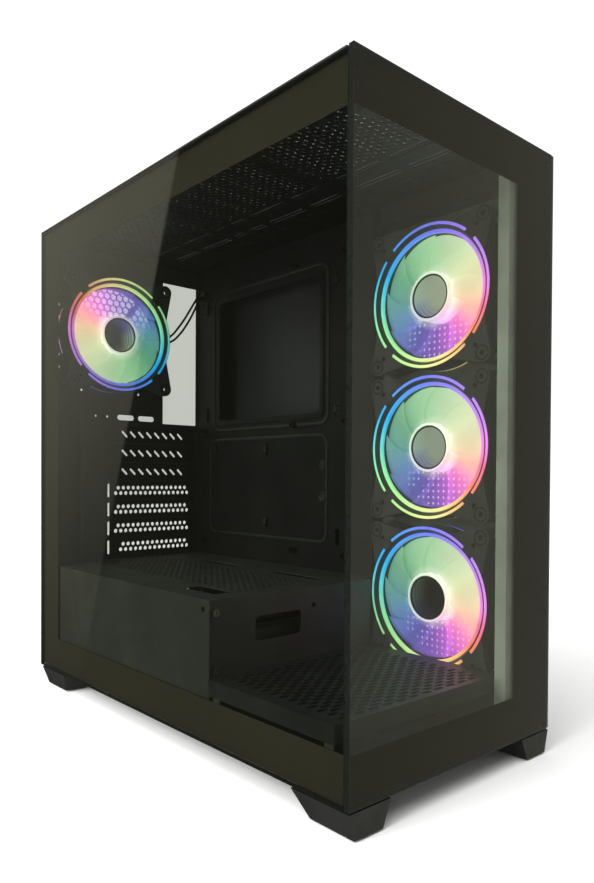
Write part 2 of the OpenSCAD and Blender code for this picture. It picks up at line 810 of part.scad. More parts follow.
module upper_fan_frame() {
    side_fan_place(2) fan_frame();
}

module upper_fan_motor() {
    side_fan_place(2) translate([0, 0, 12]) fan_motor();
}

module upper_fan_lights() {
    side_fan_place(2) fan_lights();
}

module upper_fan_rotor() {
    side_fan_place(2) fan_rotor();
}

module middle_fan_frame() {
    side_fan_place(1) fan_frame();
}

module middle_fan_motor() {
    side_fan_place(1) translate([0, 0, 12]) fan_motor();
}

module middle_fan_lights() {
    side_fan_place(1) fan_lights();
}

module middle_fan_rotor() {
    side_fan_place(1) fan_rotor();
}

module lower_fan_frame() {
    side_fan_place(0) fan_frame();
}

module lower_fan_motor() {
    side_fan_place(0) translate([0, 0, 12]) fan_motor();
}

module lower_fan_lights() {
    side_fan_place(0) fan_lights();
}

module lower_fan_rotor() {
    side_fan_place(0) fan_rotor();
}

module side_glass() {
    color("#9aa6a0", 0.3)
        span([xl, yf + glass_t + gap, z0], [xl + glass_t, yr, zt - 1.2 - gap]);
}

module side_glass_band() {
    x = xl + glass_t;
    color("#24231d") difference() {
        span([x, cf, z0 + 0.5], [x + 0.4, yr - 0.5, zt - 2]);
        span([x - 1, cf - 1, z0 + band_z - 1], [x + 1, yr - band_back, zt - band_z]);
    }
}

module side_glass_studs() {
    color("#9a9da0") for (y = side_clip_ys, z = [clip_low_z, clip_high_z])
        translate([xl + glass_t + 0.4, y, z]) rotate([0, 90, 0]) stud();
}

// A round base with a ball-ended pin that pushes into a clip
module stud() {
    cylinder(r = 6, h = 0.5);
    cylinder(r = 1.8, h = 8);
    translate([0, 0, 8]) sphere(r = 2.5);
}

module front_glass() {
    color("#9aa6a0", 0.3) span([xl, yf, z0], [xr - 2.3, yf + glass_t, zt]);
}

module front_glass_band() {
    y = yf + glass_t;
    color("#24231d") difference() {
        span([cl - 0.4, y, z0 + 0.5], [xr - 2.8, y + 0.4, zt - 2]);
        span([cl - 1, y - 1, z0 + band_z - 1], [xr - 2.3 - band_side, y + 1, zt - band_z]);
    }
}

module front_glass_studs() {
    color("#9a9da0") for (x = front_clip_xs, z = [clip_low_z, clip_high_z])
        translate([x, yf + glass_t + 0.4, z]) rotate([-90, 0, 0]) stud();
}

module steel_side_panel() {
    color("#303233") difference() {
        union() {
            span([xr - 1, yf, z0 + 0.5], [xr, yr, zt - 0.5]);
            span([xr - 1.8, yf, z0 + 0.5], [xr - 1, yf + 1, zt - 0.5]);
            span([step_x + 2, step_y + 0.2, z0 + 12], [xr - 1, step_y + 0.2 + sheet, zt - 12]);
        }
        for (i = [0 : 32])
            window_x(xr - sheet, -fan_side_y, 56.1 + i * 10.76, 98, 5, 2.4);
        for (z = [(z0 + 74), (roof_z - 76)])
            translate([step_x + 8, step_y - 1, z]) rotate([-90, 0, 0]) cylinder(r = 1.9, h = 4);
    }
}

module side_panel_thumbscrews() {
    color("#1a1b1c") for (z = [(z0 + 74), (roof_z - 76)])
        translate([step_x + 8, step_y + 0.2 + sheet, z]) rotate([-90, 0, 0]) {
            difference() {
                cylinder(r = 5, h = 8);
                translate([0, 0, 5]) cylinder(r = 3.4, h = 5);
            }
            translate([0, 0, -6]) cylinder(r = 1.7, h = 6);
        }
}

module top_filter() {
    color("#101112") difference() {
        translate([-20, 5, zt - 2.2]) rounded_plate(157, 405, 2, 8.5);
        for (i = [0 : 2])
            window_z(-20, -126 + i * 131, zt - 1.2, 137, 121, 3);
    }
    color("#303234") translate([-20, 5, zt - 2]) rounded_plate(140, 386, 0.6, 3);
}

module bottom_filter() {
    z = pan_z - 3.2;
    color("#101112") difference() {
        union() {
            span([-68, 54, z], [68, yr - 4, z + 2.6]);
            span([-24, yr - 4, z - 2], [24, yr - 1.5, z + 2.6]);
        }
        window_z(0, 132, z + 1, 122, 136, 4);
    }
    color("#303234") translate([0, 132, z + 1]) rounded_plate(126, 140, 0.6, 3);
}

module power_button() {
    color("#c4c8ca") translate([io_x, power_y, 0]) {
        cylinder_between(power_r, roof_z - 1.5, zt - 0.2);
        cylinder_between(power_r + 1.4, roof_z - 1.5, roof_z - 0.2);
        cylinder_between(1.8, roof_z - 7.8, roof_z - 1.5);
    }
}

module reset_button() {
    color("#c4c8ca") translate([io_x, reset_y, 0]) {
        cylinder_between(reset_r, roof_z - 1.5, zt - 0.2);
        cylinder_between(reset_r + 1.4, roof_z - 1.5, roof_z - 0.2);
        cylinder_between(1.8, roof_z - 7.8, roof_z - 1.5);
    }
}

base_pan();
rear_panel();
motherboard_tray();
top_plate();
top_cover();
front_pillar();
fan_bracket();
psu_shroud();
front_deck();
deck_brackets();
slot_covers();
slot_retainer();
standoffs();
panel_clips();
front_left_foot();
front_right_foot();
rear_left_foot();
rear_right_foot();
foot_pads();
case_screws();
io_housing();
io_board();
io_ports();
button_switches();
psu_pads();
drive_cage();
upper_drive_tray();
lower_drive_tray();
ssd_brackets();
fan_hub();
rear_fan_leads();
fan_screws();
rear_fan_frame();
rear_fan_motor();
rear_fan_lights();
rear_fan_rotor();
upper_fan_frame();
upper_fan_motor();
upper_fan_lights();
upper_fan_rotor();
middle_fan_frame();
middle_fan_motor();
middle_fan_lights();
middle_fan_rotor();
lower_fan_frame();
lower_fan_motor();
lower_fan_lights();
lower_fan_rotor();
side_glass();
side_glass_band();
side_glass_studs();
front_glass();
front_glass_band();
front_glass_studs();
steel_side_panel();
side_panel_thumbscrews();
top_filter();
bottom_filter();
power_button();
reset_button();
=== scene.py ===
import math

import bmesh
import bpy
from mathutils import Matrix, Vector
from mathutils.geometry import delaunay_2d_cdt


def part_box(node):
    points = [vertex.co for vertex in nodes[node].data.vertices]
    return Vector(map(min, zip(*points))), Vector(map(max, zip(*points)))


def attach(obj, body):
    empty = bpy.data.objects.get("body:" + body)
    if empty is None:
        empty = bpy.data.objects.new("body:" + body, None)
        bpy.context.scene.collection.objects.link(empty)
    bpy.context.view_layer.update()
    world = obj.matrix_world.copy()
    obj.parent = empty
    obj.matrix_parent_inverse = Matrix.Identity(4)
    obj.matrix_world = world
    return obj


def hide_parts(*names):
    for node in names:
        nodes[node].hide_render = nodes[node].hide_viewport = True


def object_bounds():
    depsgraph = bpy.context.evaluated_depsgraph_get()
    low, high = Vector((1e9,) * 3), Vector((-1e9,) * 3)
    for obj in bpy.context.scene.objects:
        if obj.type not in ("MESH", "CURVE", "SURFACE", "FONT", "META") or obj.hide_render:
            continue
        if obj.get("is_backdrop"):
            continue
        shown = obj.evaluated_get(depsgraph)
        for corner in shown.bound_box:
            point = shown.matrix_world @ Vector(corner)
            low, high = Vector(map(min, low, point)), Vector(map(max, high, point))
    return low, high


MM = 0.001

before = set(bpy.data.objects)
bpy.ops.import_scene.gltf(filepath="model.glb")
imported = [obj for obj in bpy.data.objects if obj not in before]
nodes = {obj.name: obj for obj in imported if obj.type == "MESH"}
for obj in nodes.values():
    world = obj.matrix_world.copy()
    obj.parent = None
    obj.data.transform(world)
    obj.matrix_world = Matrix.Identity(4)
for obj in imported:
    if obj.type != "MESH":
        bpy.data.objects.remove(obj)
cad_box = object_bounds()


def box_of(node):
    """Lowest and highest corner of a CAD node, in millimetres."""
    low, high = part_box(node)
    return low / MM, high / MM


# ---------------------------------------------------------------- camera

def aim_camera():
    """A camera at the front left corner, just below mid height, that looks almost level."""
    yaw, pitch, roll = math.radians(41.655), math.radians(-0.742), math.radians(0.322)
    ahead = Vector((math.sin(yaw) * math.cos(pitch), math.cos(yaw) * math.cos(pitch), math.sin(pitch)))
    level = Vector((math.cos(yaw), -math.sin(yaw), 0))
    upright = level.cross(ahead)
    across = math.cos(roll) * level + math.sin(roll) * upright
    up = math.cos(roll) * upright - math.sin(roll) * level
    view = Matrix((across, up, -ahead)).transposed().to_4x4()
    view.translation = Vector((-399.98, -498.79, 207.65)) * MM
    lens = bpy.data.cameras.new("camera")
    lens.lens = 29.576
    lens.shift_y = 0.05067
    lens.clip_start = 0.01
    camera = bpy.data.objects.new("camera", lens)
    camera.matrix_world = view
    bpy.context.scene.collection.objects.link(camera)
    bpy.context.scene.camera = camera


# ---------------------------------------------------------------- finishes

def tint(red, green, blue):
    """A colour from its screen values, 0 to 255, in linear light."""
    values = [v / 255 for v in (red, green, blue)]
    return [v / 12.92 if v <= 0.04045 else ((v + 0.055) / 1.055) ** 2.4 for v in values] + [1.0]


def scaled(colour, amount):
    return [min(1.0, v * amount) for v in colour[:3]] + [1.0]


class Finish:
    """A procedural material under construction, patterned in its object's own coordinates."""

    def __init__(self, name):
        self.material = bpy.data.materials.new(name)
        self.material.use_nodes = True
        self.shader = self.material.node_tree.nodes["Principled BSDF"]
        self.output = self.material.node_tree.nodes["Material Output"]
        self.place = self.node("ShaderNodeTexCoord").outputs["Object"]

    def node(self, kind, **settings):
        node = self.material.node_tree.nodes.new(kind)
        for name, value in settings.items():
            setattr(node, name, value)
        return node

    def join(self, source, socket):
        self.material.node_tree.links.new(source, socket)

    def put(self, socket, value):
        self.shader.inputs[socket].default_value = value

    def stretched(self, stretch):
        mapping = self.node("ShaderNodeMapping")
        mapping.inputs["Scale"].default_value = stretch
        self.join(self.place, mapping.inputs["Vector"])
        return mapping.outputs["Vector"]

    def noise(self, size, detail=3.0, stretch=(1, 1, 1)):
        """Noise with features about size millimetres across."""
        noise = self.node("ShaderNodeTexNoise")
        noise.inputs["Scale"].default_value = 1 / (size * MM)
        noise.inputs["Detail"].default_value = detail
        self.join(self.stretched(stretch), noise.inputs["Vector"])
        return noise.outputs["Fac"]

    def cells(self, size, stretch=(1, 1, 1), randomness=0.0):
        """Distance from the middle of the nearest cell, with cells size millimetres across."""
        cells = self.node("ShaderNodeTexVoronoi")
        cells.inputs["Scale"].default_value = 1 / (size * MM)
        cells.inputs["Randomness"].default_value = randomness
        self.join(self.stretched(stretch), cells.inputs["Vector"])
        return cells.outputs["Distance"]

    def colours(self, factor, stops, smooth=False):
        """A colour ramp through (place, colour) stops."""
        node = self.node("ShaderNodeValToRGB")
        ramp = node.color_ramp
        ramp.interpolation = "EASE" if smooth else "LINEAR"
        while len(ramp.elements) < len(stops):
            ramp.elements.new(0.5)
        for element, (place, colour) in zip(ramp.elements, stops):
            element.position = place
            element.color = colour
        self.join(factor, node.inputs["Fac"])
        return node.outputs["Color"]

    def between(self, factor, low, high, start=0.3, end=0.7):
        """The factor's range from start to end, spread from low to high."""
        spread = self.node("ShaderNodeMapRange")
        for socket, value in zip(("From Min", "From Max", "To Min", "To Max"), (start, end, low, high)):
            spread.inputs[socket].default_value = value
        self.join(factor, spread.inputs["Value"])
        return spread.outputs["Result"]

    def math(self, operation, first, second):
        node = self.node("ShaderNodeMath", operation=operation)
        for value, socket in zip((first, second), node.inputs):
            if isinstance(value, (int, float)):
                socket.default_value = value
            else:
                self.join(value, socket)
        return node.outputs["Value"]

    def bump(self, height, depth, strength=0.6):
        """A relief of the given depth in millimetres."""
        bump = self.node("ShaderNodeBump")
        bump.inputs["Strength"].default_value = strength
        bump.inputs["Distance"].default_value = depth * MM
        self.join(height, bump.inputs["Height"])
        self.join(bump.outputs["Normal"], self.shader.inputs["Normal"])


def coated(name, colour, rough=0.5, vary=0.22, cloud=38, grain=0.7, depth=0.05, coat=0.0, specular=0.5):
    """Painted steel or moulded plastic: cloudy colour, a fine grain, uneven gloss and faint dust."""
    paint = Finish(name)
    clouds = paint.noise(cloud, 4)
    specks = paint.noise(grain, 2)
    tone = paint.math("ADD", paint.math("MULTIPLY", clouds, 0.75), paint.math("MULTIPLY", specks, 0.25))
    stops = [(0.34, scaled(colour, 1 - vary)), (0.5, colour), (0.66, scaled(colour, 1 + vary))]
    paint.join(paint.colours(tone, stops), paint.shader.inputs["Base Color"])
    paint.join(paint.between(paint.noise(9, 5), rough - 0.07, rough + 0.09),
               paint.shader.inputs["Roughness"])
    paint.put("Specular IOR Level", specular)
    paint.put("Coat Weight", coat)
    paint.put("Coat Roughness", 0.25)
    paint.bump(specks, depth)
    return paint.material


def brushed(name, colour, rough=0.3, stretch=(1, 14, 14), grain=2.4):
    """Bare or plated metal with fine lines and smudges."""
    metal = Finish(name)
    lines = metal.noise(grain, 3, stretch)
    stops = [(0.3, scaled(colour, 0.8)), (0.55, colour), (0.75, scaled(colour, 1.1))]
    metal.join(metal.colours(lines, stops), metal.shader.inputs["Base Color"])
    metal.join(metal.between(metal.noise(6, 4), rough - 0.08, rough + 0.12), metal.shader.inputs["Roughness"])
    metal.put("Metallic", 1.0)
    metal.bump(lines, 0.02)
    return metal.material


def circuit_board():
    """Green board: darker copper runs under the lacquer, and a weave in its surface."""
    board = Finish("board_lacquer")
    runs = board.cells(3.2, (1, 0.25, 1), 0.85)
    stops = [(0.2, tint(20, 74, 44)), (0.34, tint(10, 46, 28)), (0.5, tint(14, 58, 36))]
    board.join(board.colours(runs, stops), board.shader.inputs["Base Color"])
    board.join(board.between(board.noise(4), 0.25, 0.45), board.shader.inputs["Roughness"])
    board.bump(board.noise(0.4, 2), 0.03)
    board.put("Coat Weight", 0.4)
    return board.material


def dust_mesh():
    """Woven nylon dust filter: round threads with open squares between them."""
    weave = Finish("dust_mesh")
    threads = []
    for axis in ("X", "Y"):
        wave = weave.node("ShaderNodeTexWave", bands_direction=axis, wave_profile="SIN")
        wave.inputs["Scale"].default_value = 1 / (1.4 * MM) / 20 * math.pi
        weave.join(weave.place, wave.inputs["Vector"])
        threads.append(wave.outputs["Fac"])
    cloth = weave.math("MAXIMUM", threads[0], threads[1])
    # The threads are a light grey: painted light, for the light from above that shows through the filter when
    # it is seen from below.
    weave.join(weave.colours(weave.noise(6), [(0.35, tint(94, 95, 96)), (0.65, tint(104, 105, 106))]),
               weave.shader.inputs["Base Color"])
    weave.join(weave.between(cloth, 0.4, 1.0, 0.5, 0.98), weave.shader.inputs["Alpha"])
    weave.join(weave.between(weave.noise(3), 0.45, 0.7), weave.shader.inputs["Roughness"])
    weave.bump(cloth, 0.3)
    return weave.material


def clear_glass():
    """Tinted pane: mirror-like at a glancing view, see-through when looked at squarely."""
    glass = Finish("tinted_glass")
    glass.material.node_tree.nodes.remove(glass.shader)
    clear = glass.node("ShaderNodeBsdfTransparent")
    smears = glass.colours(glass.noise(120, 3, (1, 1, 0.5)),
                           [(0.3, tint(219, 221, 218)), (0.7, tint(224, 226, 221))])
    glass.join(smears, clear.inputs["Color"])
    shine = glass.node("ShaderNodeBsdfGlossy")
    glass.join(glass.between(glass.noise(60, 4), 0.0, 0.03), shine.inputs["Roughness"])
    facing = glass.node("ShaderNodeLayerWeight")
    facing.inputs["Blend"].default_value = 0.5
    steep = glass.math("POWER", facing.outputs["Facing"], 5.0)
    share = glass.math("ADD", glass.math("MULTIPLY", steep, 0.96), 0.04)
    mix = glass.node("ShaderNodeMixShader")
    glass.join(share, mix.inputs["Fac"])
    glass.join(clear.outputs["BSDF"], mix.inputs[1])
    glass.join(shine.outputs["BSDF"], mix.inputs[2])
    glass.join(mix.outputs["Shader"], glass.output.inputs["Surface"])
    return glass.material


# Colours of the fan lights round the clock, seen from the lit face, with 12 o'clock on -X
RING_HOURS = [
    (0, (112, 124, 255)), (1, (160, 128, 255)), (2, (196, 132, 255)), (3, (246, 132, 250)),
    (3.6, (252, 108, 160)), (4.2, (255, 132, 104)), (4.9, (255, 190, 124)), (5.6, (250, 232, 160)),
    (6.4, (222, 246, 160)), (7.3, (172, 240, 150)), (8.3, (140, 236, 170)), (9.1, (96, 216, 220)),
    (10, (0, 176, 255)), (12, (112, 124, 255))]
DISC_HOURS = [
    (0, (168, 216, 164)), (1, (204, 228, 182)), (2, (236, 240, 190)), (3, (250, 222, 178)),
    (3.8, (252, 160, 160)), (4.5, (240, 112, 200)), (5.2, (206, 96, 226)), (6, (132, 84, 200)),
    (7, (92, 88, 186)), (8, (74, 112, 170)), (9, (72, 140, 140)), (10, (86, 158, 122)),
    (11, (130, 192, 140)), (12, (168, 216, 164))]
DISC_COVER = [
    (0, 0.84), (3, 0.8), (3.6, 0.5), (4.4, 0.2), (5, 0.11), (6, 0.1), (7, 0.12), (8, 0.3), (9, 0.6),
    (10, 0.6), (12, 0.84)]
DISC_GLOW = [
    (0, 1.55), (3, 1.6), (3.6, 2.0), (4.4, 3.2), (5, 3.9), (6, 4.0), (7, 3.6), (8, 2.5), (9, 1.8), (12, 1.55)]
GLOW_MAX = 4.0


def clock(light):
    """Share of a turn round the fan's axis, clockwise from 12."""
    turn = light.node("ShaderNodeTexGradient", gradient_type="RADIAL")
    light.join(light.place, turn.inputs["Vector"])
    return turn.outputs["Fac"]


def from_axis(light, place=None):
    """Distance from the fan's axis, in metres, or from the axis of another place."""
    parts = light.node("ShaderNodeSeparateXYZ")
    light.join(place or light.place, parts.inputs["Vector"])
    squares = [light.math("MULTIPLY", parts.outputs[axis], parts.outputs[axis]) for axis in "XY"]
    return light.math("SQRT", light.math("ADD", squares[0], squares[1]), 0.0)


def hours(table):
    return [(hour / 12, tint(*colour)) for hour, colour in table]


def lit_ring():
    """Frosted light guide with small lamps behind it."""
    ring = Finish("light_guide")
    colour = ring.colours(clock(ring), hours(RING_HOURS))
    ring.join(colour, ring.shader.inputs["Emission Color"])
    ring.join(colour, ring.shader.inputs["Base Color"])
    ring.join(ring.between(ring.noise(7, 2), 1.0, 1.25), ring.shader.inputs["Emission Strength"])
    ring.join(ring.between(ring.noise(1.5), 0.25, 0.4), ring.shader.inputs["Roughness"])
    ring.bump(ring.noise(0.8, 2), 0.04)
    return ring.material


def lit_blades():
    """Frosted blades lit from the hub: bright near it, and thin enough below to see through."""
    blade = Finish("lit_blades")
    turn = clock(blade)
    colour = blade.colours(turn, hours(DISC_HOURS))
    white = blade.node("ShaderNodeMix", data_type="RGBA")
    white.inputs["B"].default_value = tint(255, 250, 226)
    blade.join(blade.between(from_axis(blade), 0.5, 0.0, 0.019, 0.027), white.inputs["Factor"])
    blade.join(colour, white.inputs["A"])
    blade.join(white.outputs["Result"], blade.shader.inputs["Emission Color"])
    shares = [(hour / 12, [glow / GLOW_MAX] * 3 + [1.0]) for hour, glow in DISC_GLOW]
    uneven = blade.between(blade.noise(26, 2, (1, 1, 0.4)), 0.92 * GLOW_MAX, 1.06 * GLOW_MAX)
    blade.join(blade.math("MULTIPLY", blade.colours(turn, shares), uneven),
               blade.shader.inputs["Emission Strength"])
    cover = [(hour / 12, [share] * 3 + [1.0]) for hour, share in DISC_COVER]
    blade.join(blade.colours(turn, cover), blade.shader.inputs["Alpha"])
    blade.put("Base Color", tint(120, 124, 126))
    blade.join(blade.between(blade.noise(3), 0.3, 0.5), blade.shader.inputs["Roughness"])
    blade.bump(blade.noise(1.2, 2), 0.03)
    return blade.material


def lit_cup():
    """White wall of the hub, with the lamps close behind it."""
    cup = Finish("lit_hub_wall")
    colour = cup.colours(clock(cup), hours(DISC_HOURS))
    pale = cup.node("ShaderNodeMix", data_type="RGBA")
    pale.inputs["Factor"].default_value = 0.45
    pale.inputs["B"].default_value = tint(255, 250, 250)
    cup.join(colour, pale.inputs["A"])
    cup.join(pale.outputs["Result"], cup.shader.inputs["Emission Color"])
    cup.join(cup.between(cup.noise(9, 2), 1.2, 1.5), cup.shader.inputs["Emission Strength"])
    cup.join(cup.between(cup.noise(2), 0.3, 0.45), cup.shader.inputs["Roughness"])
    cup.bump(cup.noise(0.9, 2), 0.03)
    return cup.material


# Distance between the crescents of light in a hub's mirror
CRESCENT_PITCH = 3.1


def hub_mirror(name, glow, silver, strength):
    """Half-silvered disc: rings of light repeat inwards from one side, and fade across it."""
    disc = Finish(name)
    shifted = disc.node("ShaderNodeMapping")
    shifted.inputs["Location"].default_value = (0.003, 0.011, 0)
    disc.join(disc.place, shifted.inputs["Vector"])
    reach = from_axis(disc, shifted.outputs["Vector"])
    steps = disc.math("SINE", disc.math("MULTIPLY", reach, 2 * math.pi / (CRESCENT_PITCH * MM)), 0.0)
    crescent = disc.math("MULTIPLY", disc.between(reach, 0.0, 1.0, 0.011, 0.027),
                         disc.between(steps, 0.45, 1.0, -1.0, 1.0))
    edge = disc.colours(clock(disc), [(0.0, tint(110, 130, 100)), (0.5, tint(90, 84, 150)),
                                      (0.62, tint(104, 112, 176)), (0.75, tint(150, 184, 176)),
                                      (0.9, tint(150, 186, 150)), (1.0, tint(110, 130, 100))])
    mix = disc.node("ShaderNodeMix", data_type="RGBA")
    disc.join(crescent, mix.inputs["Factor"])
    mix.inputs["A"].default_value = glow
    disc.join(edge, mix.inputs["B"])
    disc.join(mix.outputs["Result"], disc.shader.inputs["Emission Color"])
    disc.put("Emission Strength", strength)
    disc.join(disc.colours(disc.noise(5), [(0.4, scaled(silver, 0.85)), (0.6, silver)]),
              disc.shader.inputs["Base Color"])
    disc.put("Metallic", 1.0)
    disc.join(disc.between(disc.noise(8), 0.08, 0.16), disc.shader.inputs["Roughness"])
    disc.bump(disc.noise(14, 1), 0.02)
    return disc.material


def fan_plastic():
    """Black frame plastic, with the tiny round dimples of the band between the lights, painted nearly black
    as shade in the pits.
    """
    shell = Finish("fan_plastic")
    reach = from_axis(shell)
    band_low, band_high = 53.2 * MM, 55.6 * MM
    in_band = shell.math("MULTIPLY", shell.math("GREATER_THAN", reach, band_low),
                         shell.math("LESS_THAN", reach, band_high))
    dimple = shell.math("LESS_THAN", shell.cells(1.15), 0.3)
    pits = shell.math("MULTIPLY", in_band, dimple)
    tone = shell.colours(shell.noise(24, 4), [(0.35, tint(48, 50, 49)), (0.65, tint(60, 62, 60))])
    # The dimples are painted nearly black: painted shade inside the pits.
    dark = shell.node("ShaderNodeMix", data_type="RGBA")
    shell.join(pits, dark.inputs["Factor"])
    shell.join(tone, dark.inputs["A"])
    dark.inputs["B"].default_value = tint(4, 4, 5)
    shell.join(dark.outputs["Result"], shell.shader.inputs["Base Color"])
    shell.join(shell.between(shell.noise(5, 4), 0.34, 0.52), shell.shader.inputs["Roughness"])
    shell.bump(shell.math("SUBTRACT", shell.math("MULTIPLY", shell.noise(0.6, 2), 0.2), pits), 0.25)
    return shell.material


def foam():
    """Open-cell foam: pores of several sizes, painted darker towards their middles as shade in the hollows.
    """
    sponge = Finish("foam")
    pores = sponge.cells(1.1, randomness=1.0)
    # Each pore is painted darker towards its middle: painted shade.
    sponge.join(sponge.colours(pores, [(0.1, tint(10, 10, 11)), (0.6, tint(44, 45, 47))]),
                sponge.shader.inputs["Base Color"])
    sponge.join(sponge.between(sponge.noise(3), 0.8, 0.95), sponge.shader.inputs["Roughness"])
    sponge.put("Sheen Weight", 0.2)
    sponge.bump(pores, 0.4)
    return sponge.material


BLACK_STEEL = coated("black_powder_coat", tint(44, 46, 45), rough=0.48)
DARK_STEEL = coated("dark_powder_coat", tint(27, 28, 28), rough=0.46)
# The shroud's steel is a lighter copy of the black powder coat: painted light, for its sides that face the
# lamps.
SHROUD_STEEL_LIT = coated("shroud_powder_coat_lit", tint(56, 58, 54), rough=0.5)
# The roof's steel is a darker copy of the black powder coat: painted shade, for the roof's underside that
# lies in shadow.
ROOF_STEEL_SHADED = coated("roof_powder_coat_shaded", tint(15, 16, 15), rough=0.55)
DECK_STEEL = coated("deck_powder_coat", tint(36, 38, 37), rough=0.5)
# The fan bracket is black steel like the rest; its pale grey is painted light, for the side lamp shining on
# it through the glass.
BRACKET_STEEL_LIT = coated("bracket_powder_coat_lit", tint(84, 88, 80), rough=0.45, coat=0.1)
GREY_STEEL = coated("grey_powder_coat", tint(66, 70, 63), rough=0.45, coat=0.1)
PANEL_STEEL = coated("panel_powder_coat", tint(50, 51, 52), rough=0.42, vary=0.1, cloud=120, grain=0.5)
BLACK_PLASTIC = coated("black_plastic", tint(30, 31, 31), rough=0.42, grain=0.9, depth=0.08)
FOOT_PLASTIC = coated("foot_plastic", tint(28, 29, 28), rough=0.55, grain=0.6, depth=0.12)
RUBBER = coated("pad_rubber", tint(24, 25, 25), rough=0.8, grain=1.6, depth=0.1)
SCREW_STEEL = brushed("screw_steel", tint(150, 152, 154), rough=0.32)
BRASS = brushed("standoff_brass", tint(146, 126, 78), rough=0.34)
PORT_METAL = brushed("port_metal", tint(188, 192, 196), rough=0.24)
BUTTON_METAL = brushed("button_metal", tint(196, 198, 202), rough=0.28, stretch=(1, 9, 9), grain=1.2)
COPPER = brushed("copper_winding", tint(176, 98, 58), rough=0.36, stretch=(1, 1, 20), grain=3)
BOARD = circuit_board()
MESH = dust_mesh()
GLASS = clear_glass()


def enamel(name, colour):
    """Dark print fused to the glass, with no gloss of its own."""
    return coated(name, colour, rough=0.4, vary=0.05, cloud=90, grain=0.3, depth=0.001, specular=0.0)


# Both bands are one dark enamel. The side band is painted lighter and the front band darker: painted light
# and painted shade, for how much light falls on each face.
SIDE_BAND_LIT = enamel("side_band_enamel_lit", tint(36, 35, 27))
FRONT_BAND_SHADED = enamel("front_band_enamel_shaded", tint(20, 19, 10))
GLASS_EDGE = coated("ground_glass_edge", tint(24, 27, 25), rough=0.3, vary=0.03, cloud=60, grain=0.4,
                    depth=0.005, specular=0.2)
PILLAR_STEEL = coated("pillar_powder_coat", tint(156, 163, 154), rough=0.45, coat=0.1)
SHEATH = coated("lead_sheath", tint(22, 22, 23), rough=0.5, vary=0.3, cloud=12, grain=0.5)
FAN_PLASTIC = fan_plastic()
RING = lit_ring()
BLADES = lit_blades()
CUP = lit_cup()
FOAM = foam()

FINISHES = {
    "base_pan": DARK_STEEL, "rear_panel": BLACK_STEEL, "motherboard_tray": DARK_STEEL,
    "fan_bracket": BRACKET_STEEL_LIT, "slot_covers": DARK_STEEL, "slot_retainer": BLACK_STEEL,
    "front_pillar": PILLAR_STEEL, "deck_brackets": GREY_STEEL, "drive_cage": BLACK_STEEL,
    "ssd_brackets": BLACK_STEEL, "top_cover": BLACK_PLASTIC, "panel_clips": BLACK_PLASTIC,
    "upper_drive_tray": BLACK_PLASTIC, "lower_drive_tray": BLACK_PLASTIC, "io_housing": BLACK_PLASTIC,
    "button_switches": BLACK_PLASTIC, "fan_hub": BLACK_PLASTIC, "side_panel_thumbscrews": BLACK_PLASTIC,
    "front_left_foot": FOOT_PLASTIC, "front_right_foot": FOOT_PLASTIC, "rear_left_foot": FOOT_PLASTIC,
    "rear_right_foot": FOOT_PLASTIC, "foot_pads": RUBBER, "standoffs": BRASS, "case_screws": SCREW_STEEL,
    "fan_screws": SCREW_STEEL, "side_glass_studs": SCREW_STEEL, "front_glass_studs": SCREW_STEEL,
    "io_board": BOARD, "io_ports": PORT_METAL, "power_button": BUTTON_METAL, "reset_button": BUTTON_METAL,
    "side_glass": GLASS, "front_glass": GLASS,
    "rear_fan_motor": COPPER, "upper_fan_motor": COPPER, "middle_fan_motor": COPPER,
    "lower_fan_motor": COPPER}


def finish_nodes():
    for name, material in FINISHES.items():
        nodes[name].data.materials.clear()
        nodes[name].data.materials.append(material)


# ---------------------------------------------------------------- shapes

def place_thing(thing, body, replaced=()):
    bpy.context.scene.collection.objects.link(thing)
    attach(thing, body)
    if replaced:
        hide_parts(*replaced)
    return thing


def piece(name, shape, material, body, replaced=(), place=None, bevel=0.0):
    """Makes an object in metres from a shape in millimetres, and has it ride on a body."""
    bmesh.ops.remove_doubles(shape, verts=shape.verts, dist=0.0005)
    bmesh.ops.recalc_face_normals(shape, faces=shape.faces)
    mesh = bpy.data.meshes.new(name)
    shape.to_mesh(mesh)
    shape.free()
    mesh.transform(Matrix.Scale(MM, 4))
    mesh.shade_smooth()
    mesh.set_sharp_from_angle(angle=math.radians(32))
    mesh.materials.append(material)
    thing = bpy.data.objects.new(name, mesh)
    if place is not None:
        thing.matrix_world = place
    if bevel:
        edges = thing.modifiers.new("soft_edges", "BEVEL")
        edges.width = bevel * MM
        edges.segments = 2
        edges.limit_method = "ANGLE"
        edges.angle_limit = math.radians(40)
    return place_thing(thing, body, replaced)


def rounded(x, y, width, height, r=0.0, steps=2):
    """Outline of a rectangle with rounded corners, which is a slot or a circle at full rounding."""
    points = []
    for corner in range(4):
        mid_x = x + (width / 2 - r) * (1 if corner in (0, 3) else -1)
        mid_y = y + (height / 2 - r) * (1 if corner in (0, 1) else -1)
        for step in range(steps + 1):
            angle = (corner + step / steps) * math.pi / 2
            point = Vector((mid_x + r * math.cos(angle), mid_y + r * math.sin(angle)))
            if all((point - other).length > 0.01 for other in points[-1:] + points[:1]):
                points.append(point)
    return points


def from_corners(x0, y0, x1, y1):
    return rounded((x0 + x1) / 2, (y0 + y1) / 2, x1 - x0, y1 - y0)


